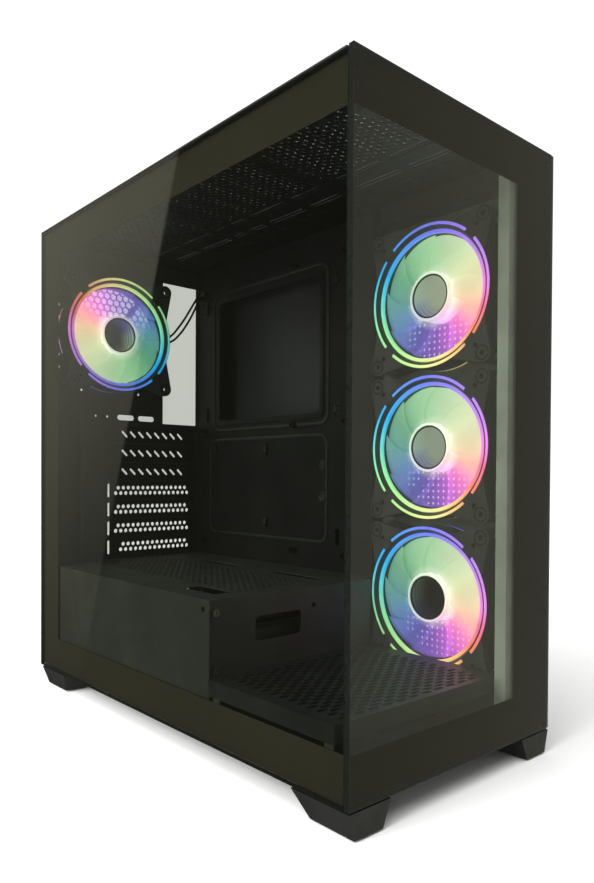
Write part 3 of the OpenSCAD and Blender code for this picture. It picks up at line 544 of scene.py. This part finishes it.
def add_sheet(shape, axis, low, high, outline, holes=()):
    """A sheet across an axis, from low to high on it, with holes right through."""
    def at(point, level):
        return {"x": (level, *point), "y": (point[0], level, point[1]), "z": (*point, level)}[axis]

    points = list(outline)
    edges = [(i, (i + 1) % len(outline)) for i in range(len(outline))]
    rings = []
    for hole in holes:
        rings.append(list(range(len(points), len(points) + len(hole))))
        points += hole
    flat, _, triangles, _, _, origins = delaunay_2d_cdt(points, edges, rings, 1, 1e-5)
    kept = [corners for corners, origin in zip(triangles, origins) if not origin]
    used = {i for corners in kept for i in corners}
    lower = {i: shape.verts.new(at(flat[i], low)) for i in used}
    upper = {i: shape.verts.new(at(flat[i], high)) for i in used}
    rims = {(a, b) for t in kept for a, b in zip(t, t[1:] + t[:1])}
    for corners in kept:
        shape.faces.new([upper[i] for i in corners])
        shape.faces.new([lower[i] for i in reversed(corners)])
    for a, b in rims:
        if (b, a) not in rims:
            shape.faces.new((lower[a], lower[b], upper[b], upper[a]))


def add_box(shape, low, high):
    low, high = Vector(low), Vector(high)
    size = Matrix.Diagonal((*(high - low), 1))
    bmesh.ops.create_cube(shape, size=1, matrix=Matrix.Translation((low + high) / 2) @ size)


def add_turned(shape, profile, start=0.0, sweep=360.0, segments=96):
    """A closed profile of (radius, height) points, turned round Z in whole or in part."""
    whole = sweep >= 360
    count = segments if whole else segments + 1
    rings = []
    for step in range(count):
        angle = math.radians(start + sweep * step / segments)
        rings.append([shape.verts.new((r * math.cos(angle), r * math.sin(angle), h)) for r, h in profile])
    for step in range(segments):
        here, there = rings[step], rings[(step + 1) % count]
        for k in range(len(profile)):
            after = (k + 1) % len(profile)
            shape.faces.new((here[k], there[k], there[after], here[after]))
    if not whole:
        shape.faces.new(rings[0])
        shape.faces.new(rings[-1])


def add_ridge(shape, axis, level, outline_size, section):
    """A pressed ridge round a rounded rectangle: section is (outset, height) points across it."""
    x, y, width, height, r = outline_size
    rings = []
    for outset, rise in section:
        path = rounded(x, y, width + 2 * outset, height + 2 * outset, r + outset, 5)
        spot = {"x": lambda p: (level + rise, p[0], p[1]), "y": lambda p: (p[0], level + rise, p[1])}[axis]
        rings.append([shape.verts.new(spot(point)) for point in path])
    for here, there in zip(rings, rings[1:] + rings[:1]):
        for k in range(len(here)):
            after = (k + 1) % len(here)
            shape.faces.new((here[k], here[after], there[after], there[k]))


def staggered(x0, x1, pitch_x, y0, y1, pitch_y):
    """Points of a grid in which every other row is moved half a pitch."""
    row, y = 0, y0
    while y <= y1:
        x = x0 + (row % 2) * pitch_x / 2
        while x <= x1:
            yield x, y
            x += pitch_x
        row += 1
        y += pitch_y


# ---------------------------------------------------------------- leads of the rear fan

LEAD_R = 1.2
LIGHT_LEAD = [
    (25.3, 206, 361.5), (31, 206, 362), (38, 206, 366.5), (46, 206.2, 375.5), (54, 206.5, 386),
    (62, 207, 398), (70, 207.6, 410), (76, 208.2, 418), (80.9, 208.4, 421), (85, 206.5, 421),
    (88, 198, 418.5), (88, 170, 413), (88, 130, 409), (88, 90, 407.5), (88, 50, 407.5),
    (88, 10, 406), (87, -18, 400), (86, -32, 390), (86, -36, 378)]
MOTOR_LEAD = [
    (25.5, 206, 357), (31, 206, 357), (38, 206, 359.5), (47, 206, 367.5), (56, 206, 379),
    (64, 206.4, 391.5), (71, 207, 404.5), (76.5, 207.6, 413.3), (80.9, 207.8, 416.2),
    (84.5, 206, 416.2), (86, 198, 413.8), (85.5, 170, 408.5), (85.5, 130, 404.6),
    (85.5, 90, 403.2), (85.5, 50, 403.2), (85.5, 20, 402), (85.5, -4, 396.5), (86, -16, 388),
    (86, -18, 378)]


def make_lead(name, route):
    """A round lead from the rear fan, through the tray, down to the splitter."""
    curve = bpy.data.curves.new(name, "CURVE")
    curve.dimensions = "3D"
    curve.resolution_u = 8
    curve.bevel_depth = LEAD_R * MM
    curve.bevel_resolution = 4
    curve.use_fill_caps = True
    spline = curve.splines.new("BEZIER")
    spline.bezier_points.add(len(route) - 1)
    for knot, point in zip(spline.bezier_points, route):
        knot.co = Vector(point) * MM
        knot.handle_left_type = knot.handle_right_type = "AUTO"
    curve.materials.append(SHEATH)
    thing = place_thing(bpy.data.objects.new(name, curve), "chassis", ["rear_fan_leads"])
    tuple(Vector(route[0]) * MM)


def make_grommet():
    """Rubber edging of the hole that the leads pass through."""
    x = box_of("motherboard_tray")[0].x + 1.2
    shape = bmesh.new()
    add_turned(shape, [(4.4, 0.6), (4.4, 2.4), (5.0, 3.2), (6.4, 3.2), (6.8, 2.2), (6.8, 0.8), (6.4, -0.2),
                       (5.0, -0.2)], segments=40)
    turn = Matrix.Translation((x, 208, 418.4)) @ Matrix.Rotation(math.pi / 2, 4, "Y")
    bmesh.ops.transform(shape, matrix=Matrix.Translation((-1, 0, 0)) @ turn, verts=shape.verts)
    piece("lead_grommet", shape, RUBBER, "chassis")


# ---------------------------------------------------------------- perforated steel

# Middle of the row of buttons and ports in the top
IO_X = 90


def make_top_plate():
    """Roof: rows of ovals for fans, double rows of slits for radiator screws, and a fine strip."""
    low, high = box_of("top_plate")
    roof = high.z - 1
    power_y, reset_y = -186, -166
    usb_ys, usb_c_y, jack_ys = (-142, -122), -105, (-92, -80)
    fan_ovals = [rounded(x, y, 5.0, 3.2, 1.6) for x, y in staggered(-92, 0, 7.2, -188, 198, 4.9)]
    screw_slits = [rounded(x, -165 + i * 55, 2.6, 46, 1.3) for x in (5.5, 10, 28.5, 33) for i in range(7)]
    fine_slits = [rounded(x, -180 + i * 15, 2.2, 11, 1.1) for x in (43, 47, 51) for i in range(26)]
    buttons = [rounded(IO_X, power_y, 15, 15, 7.4, 6), rounded(IO_X, reset_y, 7.8, 7.8, 3.9, 4)]
    ports = [rounded(IO_X, y, 8, 15.4, 0.5) for y in usb_ys] + [rounded(IO_X, usb_c_y, 5.4, 11.2, 1.8)]
    ports += [rounded(IO_X, y, 8, 8, 4, 4) for y in jack_ys]
    shape = bmesh.new()
    add_sheet(shape, "z", roof, high.z, from_corners(low.x, low.y, high.x, high.y),
              fan_ovals + screw_slits + fine_slits + buttons + ports)
    add_box(shape, (low.x, low.y, low.z), (low.x + 1, high.y - 14, roof))
    add_box(shape, (low.x + 1, low.y, low.z), (high.x - 1, low.y + 1, roof))
    # The roof plate takes the darker steel, which is painted shade.
    piece("top_plate_fine", shape, ROOF_STEEL_SHADED, "chassis", ["top_plate"])


def make_shroud():
    """Power supply shroud: vented top, plain glass side, and a front wall with a window."""
    low, high = box_of("psu_shroud")
    tray_x, wall_end = high.x - 12.4, 183
    top = high.z - 1
    holes = [rounded(x, y, 4.4, 2.6, 1.3) for x, y in staggered(-58, 20, 6.4, -48, 196, 4.6)]
    holes += [rounded(36, 105, 11, 62, 4), rounded(35, -10, 11, 62, 4), rounded(-74.5, -28, 18, 44, 4)]
    step_y = -60
    corners = [(low.x, low.y), (tray_x, low.y), (tray_x, step_y), (high.x, step_y), (high.x, high.y),
               (low.x, high.y)]
    shape = bmesh.new()
    add_sheet(shape, "z", top, high.z, [Vector(corner) for corner in corners], holes)
    add_sheet(shape, "x", low.x, low.x + 1, from_corners(low.y, low.z, wall_end, top),
              [rounded(-62, 111.4, 4.4, 4.4, 2.2, 4)])
    add_sheet(shape, "y", low.y, low.y + 1, from_corners(low.x + 1, low.z, tray_x, top),
              [rounded(-36.4, 92.6, 46, 18.8, 3, 3), rounded(0.3, 104.2, 4.4, 4.4, 2.2, 4)])
    # The shroud takes the lighter steel, which is painted light.
    piece("psu_shroud_fine", shape, SHROUD_STEEL_LIT, "chassis", ["psu_shroud"])


def make_deck():
    """Front deck: staggered slots across it, and a lip down each edge."""
    low, high = box_of("front_deck")
    top, lip = high.z - 1, high.z - 12
    holes = [rounded(x, y, 9.4, 3.6, 1.8) for x, y in staggered(-88, 54, 13.2, -192, -80, 4.6)]
    shape = bmesh.new()
    add_sheet(shape, "z", top, high.z, from_corners(low.x, low.y, high.x, high.y), holes)
    add_box(shape, (low.x, low.y, lip), (low.x + 1, high.y, top))
    add_box(shape, (low.x + 1, low.y, lip), (high.x, low.y + 1, top))
    add_box(shape, (high.x - 1, low.y + 1, low.z), (high.x, high.y, top))
    piece("front_deck_fine", shape, DECK_STEEL, "chassis", ["front_deck"])


def make_steel_panel():
    """Steel side panel: a grid of round vents beside the fans, and hemmed edges."""
    low, high = box_of("steel_side_panel")
    across, up, r = 5.42, 5.38, 1.3
    fan_y, first_z = -128.3, 56.1
    holes = [rounded(fan_y + (column - 9) * across, first_z + row * up, 2 * r, 2 * r, r, 2)
             for column in range(19) for row in range(-1, 66)]
    shape = bmesh.new()
    add_sheet(shape, "x", high.x - 1, high.x, from_corners(low.y, low.z, high.y, high.z), holes)
    add_box(shape, (high.x - 1.8, low.y, low.z), (high.x - 1, low.y + 1, high.z))
    add_sheet(shape, "y", 205.2, 206.2, from_corners(93, 30, high.x - 1, 438),
              [rounded(99, z, 3.8, 3.8, 1.9, 4) for z in (92, 367)])
    piece("steel_panel_fine", shape, PANEL_STEEL, "side_panel", ["steel_side_panel"])


# Edges of the clear windows in the panes' dark prints
WINDOW_LOW, WINDOW_TOP = 48, 419
SIDE_WINDOW_END = 184
FRONT_WINDOW_END = 65.7
# How far a print is sunk in its pane, and how far it stops short of the pane's edges
PRINT_SINK = 0.05
PRINT_EDGE = 0.15


def clasp(x0, z0, x1, z1, window_end):
    """Outline of a band along the bottom, the far edge and the top of a pane."""
    corners = [(x0, z0), (x1, z0), (x1, z1), (x0, z1), (x0, WINDOW_TOP), (window_end, WINDOW_TOP),
               (window_end, WINDOW_LOW), (x0, WINDOW_LOW)]
    return [Vector(corner) for corner in corners]


def make_prints():
    """Dark enamel on the inner face of each pane, out to its edges, and the ground edges themselves."""
    low, high = box_of("side_glass_band")
    _, pane = box_of("side_glass")
    shape = bmesh.new()
    outline = clasp(low.y, low.z, pane.y - PRINT_EDGE, pane.z - PRINT_EDGE, SIDE_WINDOW_END)
    add_sheet(shape, "x", low.x - PRINT_SINK, high.x, outline)
    piece("side_glass_print", shape, SIDE_BAND_LIT, "side_glass_panel", ["side_glass_band"])
    low, high = box_of("front_glass_band")
    _, pane = box_of("front_glass")
    shape = bmesh.new()
    outline = clasp(low.x, low.z, pane.x - PRINT_EDGE, pane.z - PRINT_EDGE, FRONT_WINDOW_END)
    add_sheet(shape, "y", low.y - PRINT_SINK, high.y, outline)
    piece("front_glass_print", shape, FRONT_BAND_SHADED, "front_glass_panel", ["front_glass_band"])
    for side, axis in (("side", "x"), ("front", "y")):
        make_rim(side + "_glass", axis, side + "_glass_panel")


def make_rim(node, axis, body):
    """The ground edge of a pane, just inside its four sides."""
    low, high = box_of(node)
    face, back = (low.x, high.x) if axis == "x" else (low.y, high.y)
    start, end = (low.y, high.y) if axis == "x" else (low.x, high.x)
    sunk, width, depth = 0.03, 0.4, 0.12
    outline, hole = (from_corners(start + inset, low.z + inset, end - inset, high.z - inset)
                     for inset in (sunk, sunk + width))
    shape = bmesh.new()
    add_sheet(shape, axis, face + depth, back - depth, outline, [hole])
    piece(node + "_edge", shape, GLASS_EDGE, body)


def make_filters():
    """Dust filters: a moulded frame with bars, and mesh stretched under it."""
    low, high = box_of("top_filter")
    mid = (low + high) / 2
    size = high - low
    shape = bmesh.new()
    add_sheet(shape, "z", high.z - 1.6, high.z, rounded(mid.x, mid.y, size.x, size.y, 8.5, 6),
              [rounded(mid.x, mid.y - 131 + i * 131, size.x - 20, 121, 5, 4) for i in range(3)])
    piece("top_filter_frame_fine", shape, BLACK_PLASTIC, "top_filter_frame", ["top_filter"],
          bevel=0.35)
    shape = bmesh.new()
    add_sheet(shape, "z", low.z + 0.1, low.z + 0.5, rounded(mid.x, mid.y, size.x - 10, size.y - 10, 6, 4))
    piece("top_filter_mesh", shape, MESH, "top_filter_frame", ["top_filter"])
    low, high = box_of("bottom_filter")
    tray_high = high.y - 2.5
    shape = bmesh.new()
    add_sheet(shape, "z", high.z - 2.6, high.z, from_corners(low.x, low.y, high.x, tray_high),
              [rounded((i - 0.5) * 64, 132, 57, 136, 5, 4) for i in range(2)])
    add_box(shape, (-24, tray_high, low.z), (24, high.y, high.z))
    piece("bottom_filter_frame_fine", shape, BLACK_PLASTIC, "bottom_filter_frame",
          ["bottom_filter"], bevel=0.3)
    shape = bmesh.new()
    add_sheet(shape, "z", high.z - 1.6, high.z - 1.2, rounded(0, 132, 128, 140, 4, 3))
    piece("bottom_filter_mesh", shape, MESH, "bottom_filter_frame", ["bottom_filter"])


# ---------------------------------------------------------------- pressed details

def make_tray_details():
    """Ridges, bosses and cable hooks pressed from the motherboard tray."""
    x = box_of("motherboard_tray")[0].x + 1.2
    shape = bmesh.new()
    section = [(0, 0.4), (0, -0.9), (1.6, -1.5), (3.2, -0.9), (3.2, 0.4)]
    add_ridge(shape, "x", x, (90.5, 335.7, 183, 150, 9), section)
    add_ridge(shape, "x", x, (94.3, 196.7, 188, 100, 8), section)
    for y, z in ((4.8, 218.8), (4.6, 188.5)):
        boss = bmesh.new()
        add_turned(boss, [(0, 0.5), (2.4, 0.5), (3.2, 1.3), (4.6, 1.3), (5.6, -0.3), (0, -0.3)], segments=32)
        turn = Matrix.Translation((x, y, z)) @ Matrix.Rotation(-math.pi / 2, 4, "Y")
        bmesh.ops.transform(boss, matrix=turn, verts=boss.verts)
        join(shape, boss)
    for y, z in ((89, 236.5), (89, 161.5), (179, 237.5), (196, 399.8), (-14.6, 392.2), (-15, 272)):
        add_hook(shape, x, y, z)
    piece("tray_details", shape, BLACK_STEEL, "chassis", bevel=0.25)


def join(shape, other):
    """Adds another shape's mesh to a shape."""
    mesh = bpy.data.meshes.new("part")
    other.to_mesh(mesh)
    other.free()
    shape.from_mesh(mesh)
    bpy.data.meshes.remove(mesh)


def add_hook(shape, x, y, z):
    """A strap pushed out of the tray, for a cable tie."""
    add_box(shape, (x - 3.2, y - 2.2, z - 3), (x - 2.2, y + 2.2, z + 3))
    for end in (-1, 1):
        add_box(shape, (x - 2.2, y - 2.2, z + end * 2.5 - 0.5), (x + 0.3, y + 2.2, z + end * 2.5 + 0.5))


def make_pads():
    """Foam pads under the power supply, with rounded edges and a flat top."""
    foot = box_of("psu_pads")[0].z
    for side, x in (("left", -60), ("right", 60)):
        shape = bmesh.new()
        rings = []
        for level, inset in ((0, 0.6), (0.8, 0), (5.6, 0), (6.6, 0.5), (7, 1.6)):
            outline = rounded(x, 130, 10 - 2 * inset, 120 - 2 * inset, 2, 4)
            rings.append([shape.verts.new((*point, foot + level)) for point in outline])
        for here, there in zip(rings, rings[1:]):
            for k in range(len(here)):
                after = (k + 1) % len(here)
                shape.faces.new((here[k], here[after], there[after], there[k]))
        shape.faces.new(reversed(rings[0]))
        shape.faces.new(rings[-1])
        piece("psu_pad_" + side, shape, FOAM, "chassis", ["psu_pads"])


def make_retainer_trim():
    """Raised borders pressed in the rear panel round the cover of the slot screws."""
    y = box_of("slot_retainer")[0].y
    shape = bmesh.new()
    section = [(0, 0.3), (0, -0.5), (1.2, -0.8), (2.4, -0.5), (2.4, 0.3)]
    add_ridge(shape, "y", y, (-56.8, 191.9, 20, 126, 3), section)
    # The ridge takes the shroud's lighter steel, which is painted light.
    piece("retainer_ridge", shape, SHROUD_STEEL_LIT, "chassis")


# ---------------------------------------------------------------- fans

FAN_R = 58.6
BORE_R = 50
HUB_R = 20
ROTOR_R = 49.2
RING_LOW_R, RING_HIGH_R = 50.1, 53.1
RING_FACE, RING_BACK = 3.4, 6.0
ARC_SWEEP = 79
HOLE_R = 105 / 2 * math.sqrt(2)
EAR_TIP_R = 7.4


def fan_place(name):
    """Where a fan is: Z from the lit face to the back, and 12 o'clock of its lights on -X."""
    low, high = box_of(name + "_fan_frame")
    mid = (low + high) / 2
    if name == "rear":
        axes = Matrix(((0, 1, 0), (0, 0, 1), (1, 0, 0))).to_4x4()
        origin = (mid.x, low.y, mid.z)
    else:
        axes = Matrix(((0, 0, 1), (0, 1, 0), (-1, 0, 0))).to_4x4()
        origin = (low.x, mid.y, mid.z)
    return Matrix.Translation(Vector(origin) * MM) @ axes


def ear_outline():
    """Rounded triangle from the ring to a corner hole, along +X."""
    inner = [math.radians(22 - 4.4 * k) for k in range(11)]
    tip = [math.radians(-68 + 17 * k) for k in range(9)]
    return ([Vector((FAN_R * math.cos(a), FAN_R * math.sin(a))) for a in inner]
            + [Vector((HOLE_R + EAR_TIP_R * math.cos(a), EAR_TIP_R * math.sin(a))) for a in tip])


def at_corner(corner, offset=45):
    """A quarter-turn round the fan's axis for each corner, from an angle in degrees."""
    return Matrix.Rotation(math.radians(offset + 90 * corner), 4, "Z")


def pentagon(x, r):
    return [Vector((x + r * math.cos(a), r * math.sin(a))) for a in (math.radians(72 * k) for k in range(5))]


def make_fan_frame(name, place):
    """Frame: ring with grooves for the lights, corner ears, struts and the motor's seat."""
    shape = bmesh.new()
    lit_side = [(BORE_R, 6.2), (53.2, 6.2), (53.2, 3.2), (55.2, 0.1), (55.6, 0.1), (55.75, 0.5), (55.75, 2.4),
                (58.3, 2.4), (58.3, 0.4), (FAN_R, 0.4)]
    back = [(FAN_R, 22.6), (55.75, 22.6), (55.75, 24.6), (55.3, 25), (52.4, 25), (50.6, 24.2), (BORE_R, 22)]
    add_turned(shape, lit_side + back, segments=120)
    for corner in range(4):
        ear = bmesh.new()
        holes = [rounded(HOLE_R, 0, 4.4, 4.4, 2.2, 5), pentagon(65.4, 2.3)]
        for low in (0, 20):
            add_sheet(ear, "z", low, low + 5, ear_outline(), holes)
        add_turned(ear, [(55.7, 0), (FAN_R + 0.1, 0), (FAN_R + 0.1, 3), (55.7, 3)], -5, 10, 6)
        add_turned(ear, [(55.7, 22), (FAN_R + 0.1, 22), (FAN_R + 0.1, 25), (55.7, 25)], -5, 10, 6)
        bmesh.ops.transform(ear, matrix=at_corner(corner), verts=ear.verts)
        join(shape, ear)
        strut = bmesh.new()
        add_box(strut, (HUB_R - 1, -2.4, 21.5), (BORE_R + 1, 2.4, 24.5))
        bmesh.ops.transform(strut, matrix=at_corner(corner, 38), verts=strut.verts)
        join(shape, strut)
    add_turned(shape, [(4.5, 10), (4.5, 21.5), (HUB_R - 0.6, 21.5), (HUB_R, 22.1), (HUB_R, 24.4),
                       (HUB_R - 0.6, 25), (1.6, 25), (1.6, 10)], segments=64)
    piece(name + "_fan_frame_fine", shape, FAN_PLASTIC, "chassis", [name + "_fan_frame"],
          place, bevel=0.3)


def make_ear_pads(name, place):
    """Thin rubber pads round the corner holes, proud of the ears' lit side."""
    shape = bmesh.new()
    for corner in range(4):
        pad = bmesh.new()
        add_turned(pad, [(4.6, 0.4), (4.6, -0.2), (5.0, -0.35), (5.6, -0.35), (6.0, -0.2), (6.0, 0.4)],
                   segments=32)
        hole_place = at_corner(corner) @ Matrix.Translation((HOLE_R, 0, 0))
        bmesh.ops.transform(pad, matrix=hole_place, verts=pad.verts)
        join(shape, pad)
    piece(name + "_fan_pads", shape, RUBBER, "chassis", (), place)


def make_fan_lights(name, place):
    """Light guides: one whole ring at the bore, and four arcs along each edge."""
    shape = bmesh.new()
    add_turned(shape, [(RING_LOW_R, RING_FACE + 0.5), (RING_LOW_R + 0.5, RING_FACE),
                       (RING_HIGH_R - 0.5, RING_FACE), (RING_HIGH_R, RING_FACE + 0.5),
                       (RING_HIGH_R, RING_BACK), (RING_LOW_R, RING_BACK)], segments=120)
    front_arc = [(55.85, 0.6), (56.2, 0.25), (57.9, 0.25), (58.2, 0.6), (58.2, 2.35), (55.85, 2.35)]
    back_arc = [(55.85, 22.65), (58.5, 22.65), (58.5, 24.3), (58.1, 24.75), (56.3, 24.75), (55.85, 24.3)]
    for side in range(4):
        for profile in (front_arc, back_arc):
            add_turned(shape, profile, 90 * side - ARC_SWEEP / 2, ARC_SWEEP, 30)
    piece(name + "_fan_lights_fine", shape, RING, "chassis", [name + "_fan_lights"], place)


def add_blade(shape, start):
    """One broad blade, twisted and swept back from the hub to its tip, that covers two ninths of a turn."""
    rows, columns = 12, 20
    faces = []
    for side in (-0.5, 0.5):
        grid = []
        for i in range(rows + 1):
            out = i / rows
            r = HUB_R - 0.4 + out * (ROTOR_R - HUB_R + 0.4)
            line = []
            for j in range(columns + 1):
                along = j / columns
                angle = math.radians(start + 24 * out ** 1.3 + 80 * along)
                lift = 13.6 - 6.8 * along
                thick = 0.3 + 0.6 * math.sin(math.pi * along)
                spot = (r * math.cos(angle), r * math.sin(angle), lift + side * thick)
                line.append(shape.verts.new(spot))
            grid.append(line)
        faces.append(grid)
    back, front = faces
    for i in range(rows):
        for j in range(columns):
            for grid in faces:
                shape.faces.new((grid[i][j], grid[i + 1][j], grid[i + 1][j + 1], grid[i][j + 1]))
    rim = [(i, 0) for i in range(rows)] + [(rows, j) for j in range(columns)]
    rim += [(i, columns) for i in range(rows, 0, -1)] + [(0, j) for j in range(columns, 0, -1)]
    for (a, b), (c, d) in zip(rim, rim[1:] + rim[:1]):
        shape.faces.new((back[a][b], back[c][d], front[c][d], front[a][b]))


def make_rotor(name, place, glow, silver, strength):
    """Rotor: lit cup, mirrored disc in a thin black ring, nine blades and a shaft."""
    body = name + "_rotor"
    node = name + "_fan_rotor"
    shape = bmesh.new()
    add_turned(shape, [(17.9, 3.0), (18.3, 2.5), (19.3, 2.5), (20, 3.2), (20, 20.5), (17.4, 20.5), (17.4, 5),
                       (17.9, 5)], segments=96)
    piece(name + "_rotor_cup", shape, CUP, body, [node], place)
    shape = bmesh.new()
    add_turned(shape, [(0, 4.6), (1.5, 4.6), (1.5, 22), (0, 22)], segments=24)
    add_turned(shape, [(16.5, 3.6), (16.9, 2.9), (17.5, 2.9), (17.9, 3.4), (17.9, 5), (0, 5), (0, 4.5),
                       (16.5, 4.5)], segments=96)
    piece(name + "_rotor_ring", shape, BLACK_PLASTIC, body, [node], place)
    shape = bmesh.new()
    add_turned(shape, [(0, 3.5), (16.0, 3.5), (16.45, 3.9), (16.45, 4.45), (0, 4.45)], segments=96)
    mirror = hub_mirror(name + "_hub_mirror", glow, silver, strength)
    piece(name + "_rotor_disc", shape, mirror, body, [node], place)
    shape = bmesh.new()
    for blade in range(9):
        add_blade(shape, 40 * blade)
    piece(name + "_rotor_blades", shape, BLADES, body, [node], place)


def make_fans():
    hubs = {"rear": (tint(50, 52, 60), tint(52, 54, 58), 1.5),
            "upper": (tint(160, 171, 150), tint(84, 88, 90), 1.6),
            "middle": (tint(148, 159, 142), tint(84, 88, 90), 1.6),
            "lower": (tint(5, 8, 6), tint(20, 22, 22), 0.35)}
    for name, (glow, silver, strength) in hubs.items():
        place = fan_place(name)
        make_fan_frame(name, place)
        make_ear_pads(name, place)
        make_fan_lights(name, place)
        make_rotor(name, place, glow, silver, strength)


# ---------------------------------------------------------------- studio

def make_floor():
    """A wide pale floor."""
    paper = coated("floor_paper", tint(246, 246, 245), rough=0.8, vary=0.006, cloud=400, grain=4, depth=0.02)
    shape = bmesh.new()
    bmesh.ops.create_grid(shape, x_segments=4, y_segments=4, size=12)
    mesh = bpy.data.meshes.new("floor")
    shape.to_mesh(mesh)
    shape.free()
    mesh.materials.append(paper)
    floor = bpy.data.objects.new("floor", mesh)
    floor.location.z = -0.0005
    floor.visible_glossy = False
    bpy.context.scene.collection.objects.link(floor)
    floor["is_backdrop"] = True


# Across the slanting edge of the panel that the side glass mirrors
PANEL_EDGE = (0.870, 0.461, 0.175)


def make_sky():
    """White behind everything, dim in the light it gives. Mirrors see a pale front right and a tall panel."""
    world = bpy.data.worlds.new("studio")
    bpy.context.scene.world = world
    world.use_nodes = True
    tree = world.node_tree
    direction = tree.nodes.new("ShaderNodeTexCoord").outputs["Generated"]
    rays = tree.nodes.new("ShaderNodeLightPath")

    def glow(toward, start, end, low, high):
        """Light that grows from low to high as the direction turns toward an axis."""
        along = tree.nodes.new("ShaderNodeVectorMath")
        along.operation = "DOT_PRODUCT"
        along.inputs[1].default_value = toward
        tree.links.new(direction, along.inputs[0])
        spread = tree.nodes.new("ShaderNodeMapRange")
        spread.interpolation_type = "SMOOTHSTEP"
        for socket, value in zip(("From Min", "From Max", "To Min", "To Max"), (start, end, low, high)):
            spread.inputs[socket].default_value = value
        tree.links.new(along.outputs["Value"], spread.inputs["Value"])
        return spread.outputs["Result"]

    def combine(operation, first, second):
        node = tree.nodes.new("ShaderNodeMath")
        node.operation = operation
        for value, socket in ((first, node.inputs[0]), (second, node.inputs[1])):
            tree.links.new(value, socket)
        return node.outputs["Value"]

    def choose(ray, otherwise, seen):
        mix = tree.nodes.new("ShaderNodeMix")
        tree.links.new(rays.outputs[ray], mix.inputs["Factor"])
        for socket, value in ((mix.inputs["A"], otherwise), (mix.inputs["B"], seen)):
            if isinstance(value, float):
                socket.default_value = value
            else:
                tree.links.new(value, socket)
        return mix.outputs["Result"]

    front_right = glow((0.78, -0.62, 0), 0.2, 0.95, 0.08, 0.56)
    across = combine("MULTIPLY", glow(PANEL_EDGE, 0.0, 0.004, 0.0, 1.0), glow((0, 1, 0), 0.3, 0.6, 0.0, 1.0))
    panel = combine("MULTIPLY", across, glow((0, 0, 1), -0.35, 0.45, 0.0, 0.62))
    mirrored = combine("ADD", front_right, panel)
    strength = choose("Is Camera Ray", choose("Is Glossy Ray", 0.4, mirrored), 1.1)
    tree.links.new(strength, tree.nodes["Background"].inputs["Strength"])
    shade = tree.nodes.new("ShaderNodeMix")
    shade.data_type = "RGBA"
    shade.inputs["A"].default_value = (1, 1, 1, 1)
    shade.inputs["B"].default_value = (1, 0.99, 0.78, 1)
    tree.links.new(rays.outputs["Is Glossy Ray"], shade.inputs["Factor"])
    tree.links.new(shade.outputs["Result"], tree.nodes["Background"].inputs["Color"])


def add_light(name, kind, power, place, target, **settings):
    lamp = bpy.data.lights.new(name, kind)
    lamp.energy = power
    for key, value in settings.items():
        setattr(lamp, key, value)
    light = bpy.data.objects.new(name, lamp)
    light.location = place
    light.rotation_euler = (Vector(target) - Vector(place)).to_track_quat("-Z", "Y").to_euler()
    bpy.context.scene.collection.objects.link(light)
    return light


def make_lights():
    overhead = add_light("overhead", "SUN", 3.6, (-1.7, -0.1, 3), (0, 0, 0), angle=math.radians(70))
    overhead.visible_glossy = False
    fill = add_light("fill", "AREA", 95, (-2.1, 0.2, 0.75), (0, 0, 0.22), shape="SQUARE", size=1.8)
    fill.visible_glossy = False
    fill.visible_camera = False


aim_camera()
make_lead("light_lead", LIGHT_LEAD)
make_lead("motor_lead", MOTOR_LEAD)
finish_nodes()
make_grommet()
make_top_plate()
make_shroud()
make_deck()
make_steel_panel()
make_prints()
make_filters()
make_tray_details()
make_pads()
make_retainer_trim()
make_fans()
make_floor()
make_sky()
make_lights()
bpy.context.scene.view_settings.view_transform = "Standard"

boxes = {"cad": cad_box, "visual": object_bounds()}
{name: [list(corner) for corner in box] for name, box in boxes.items()}
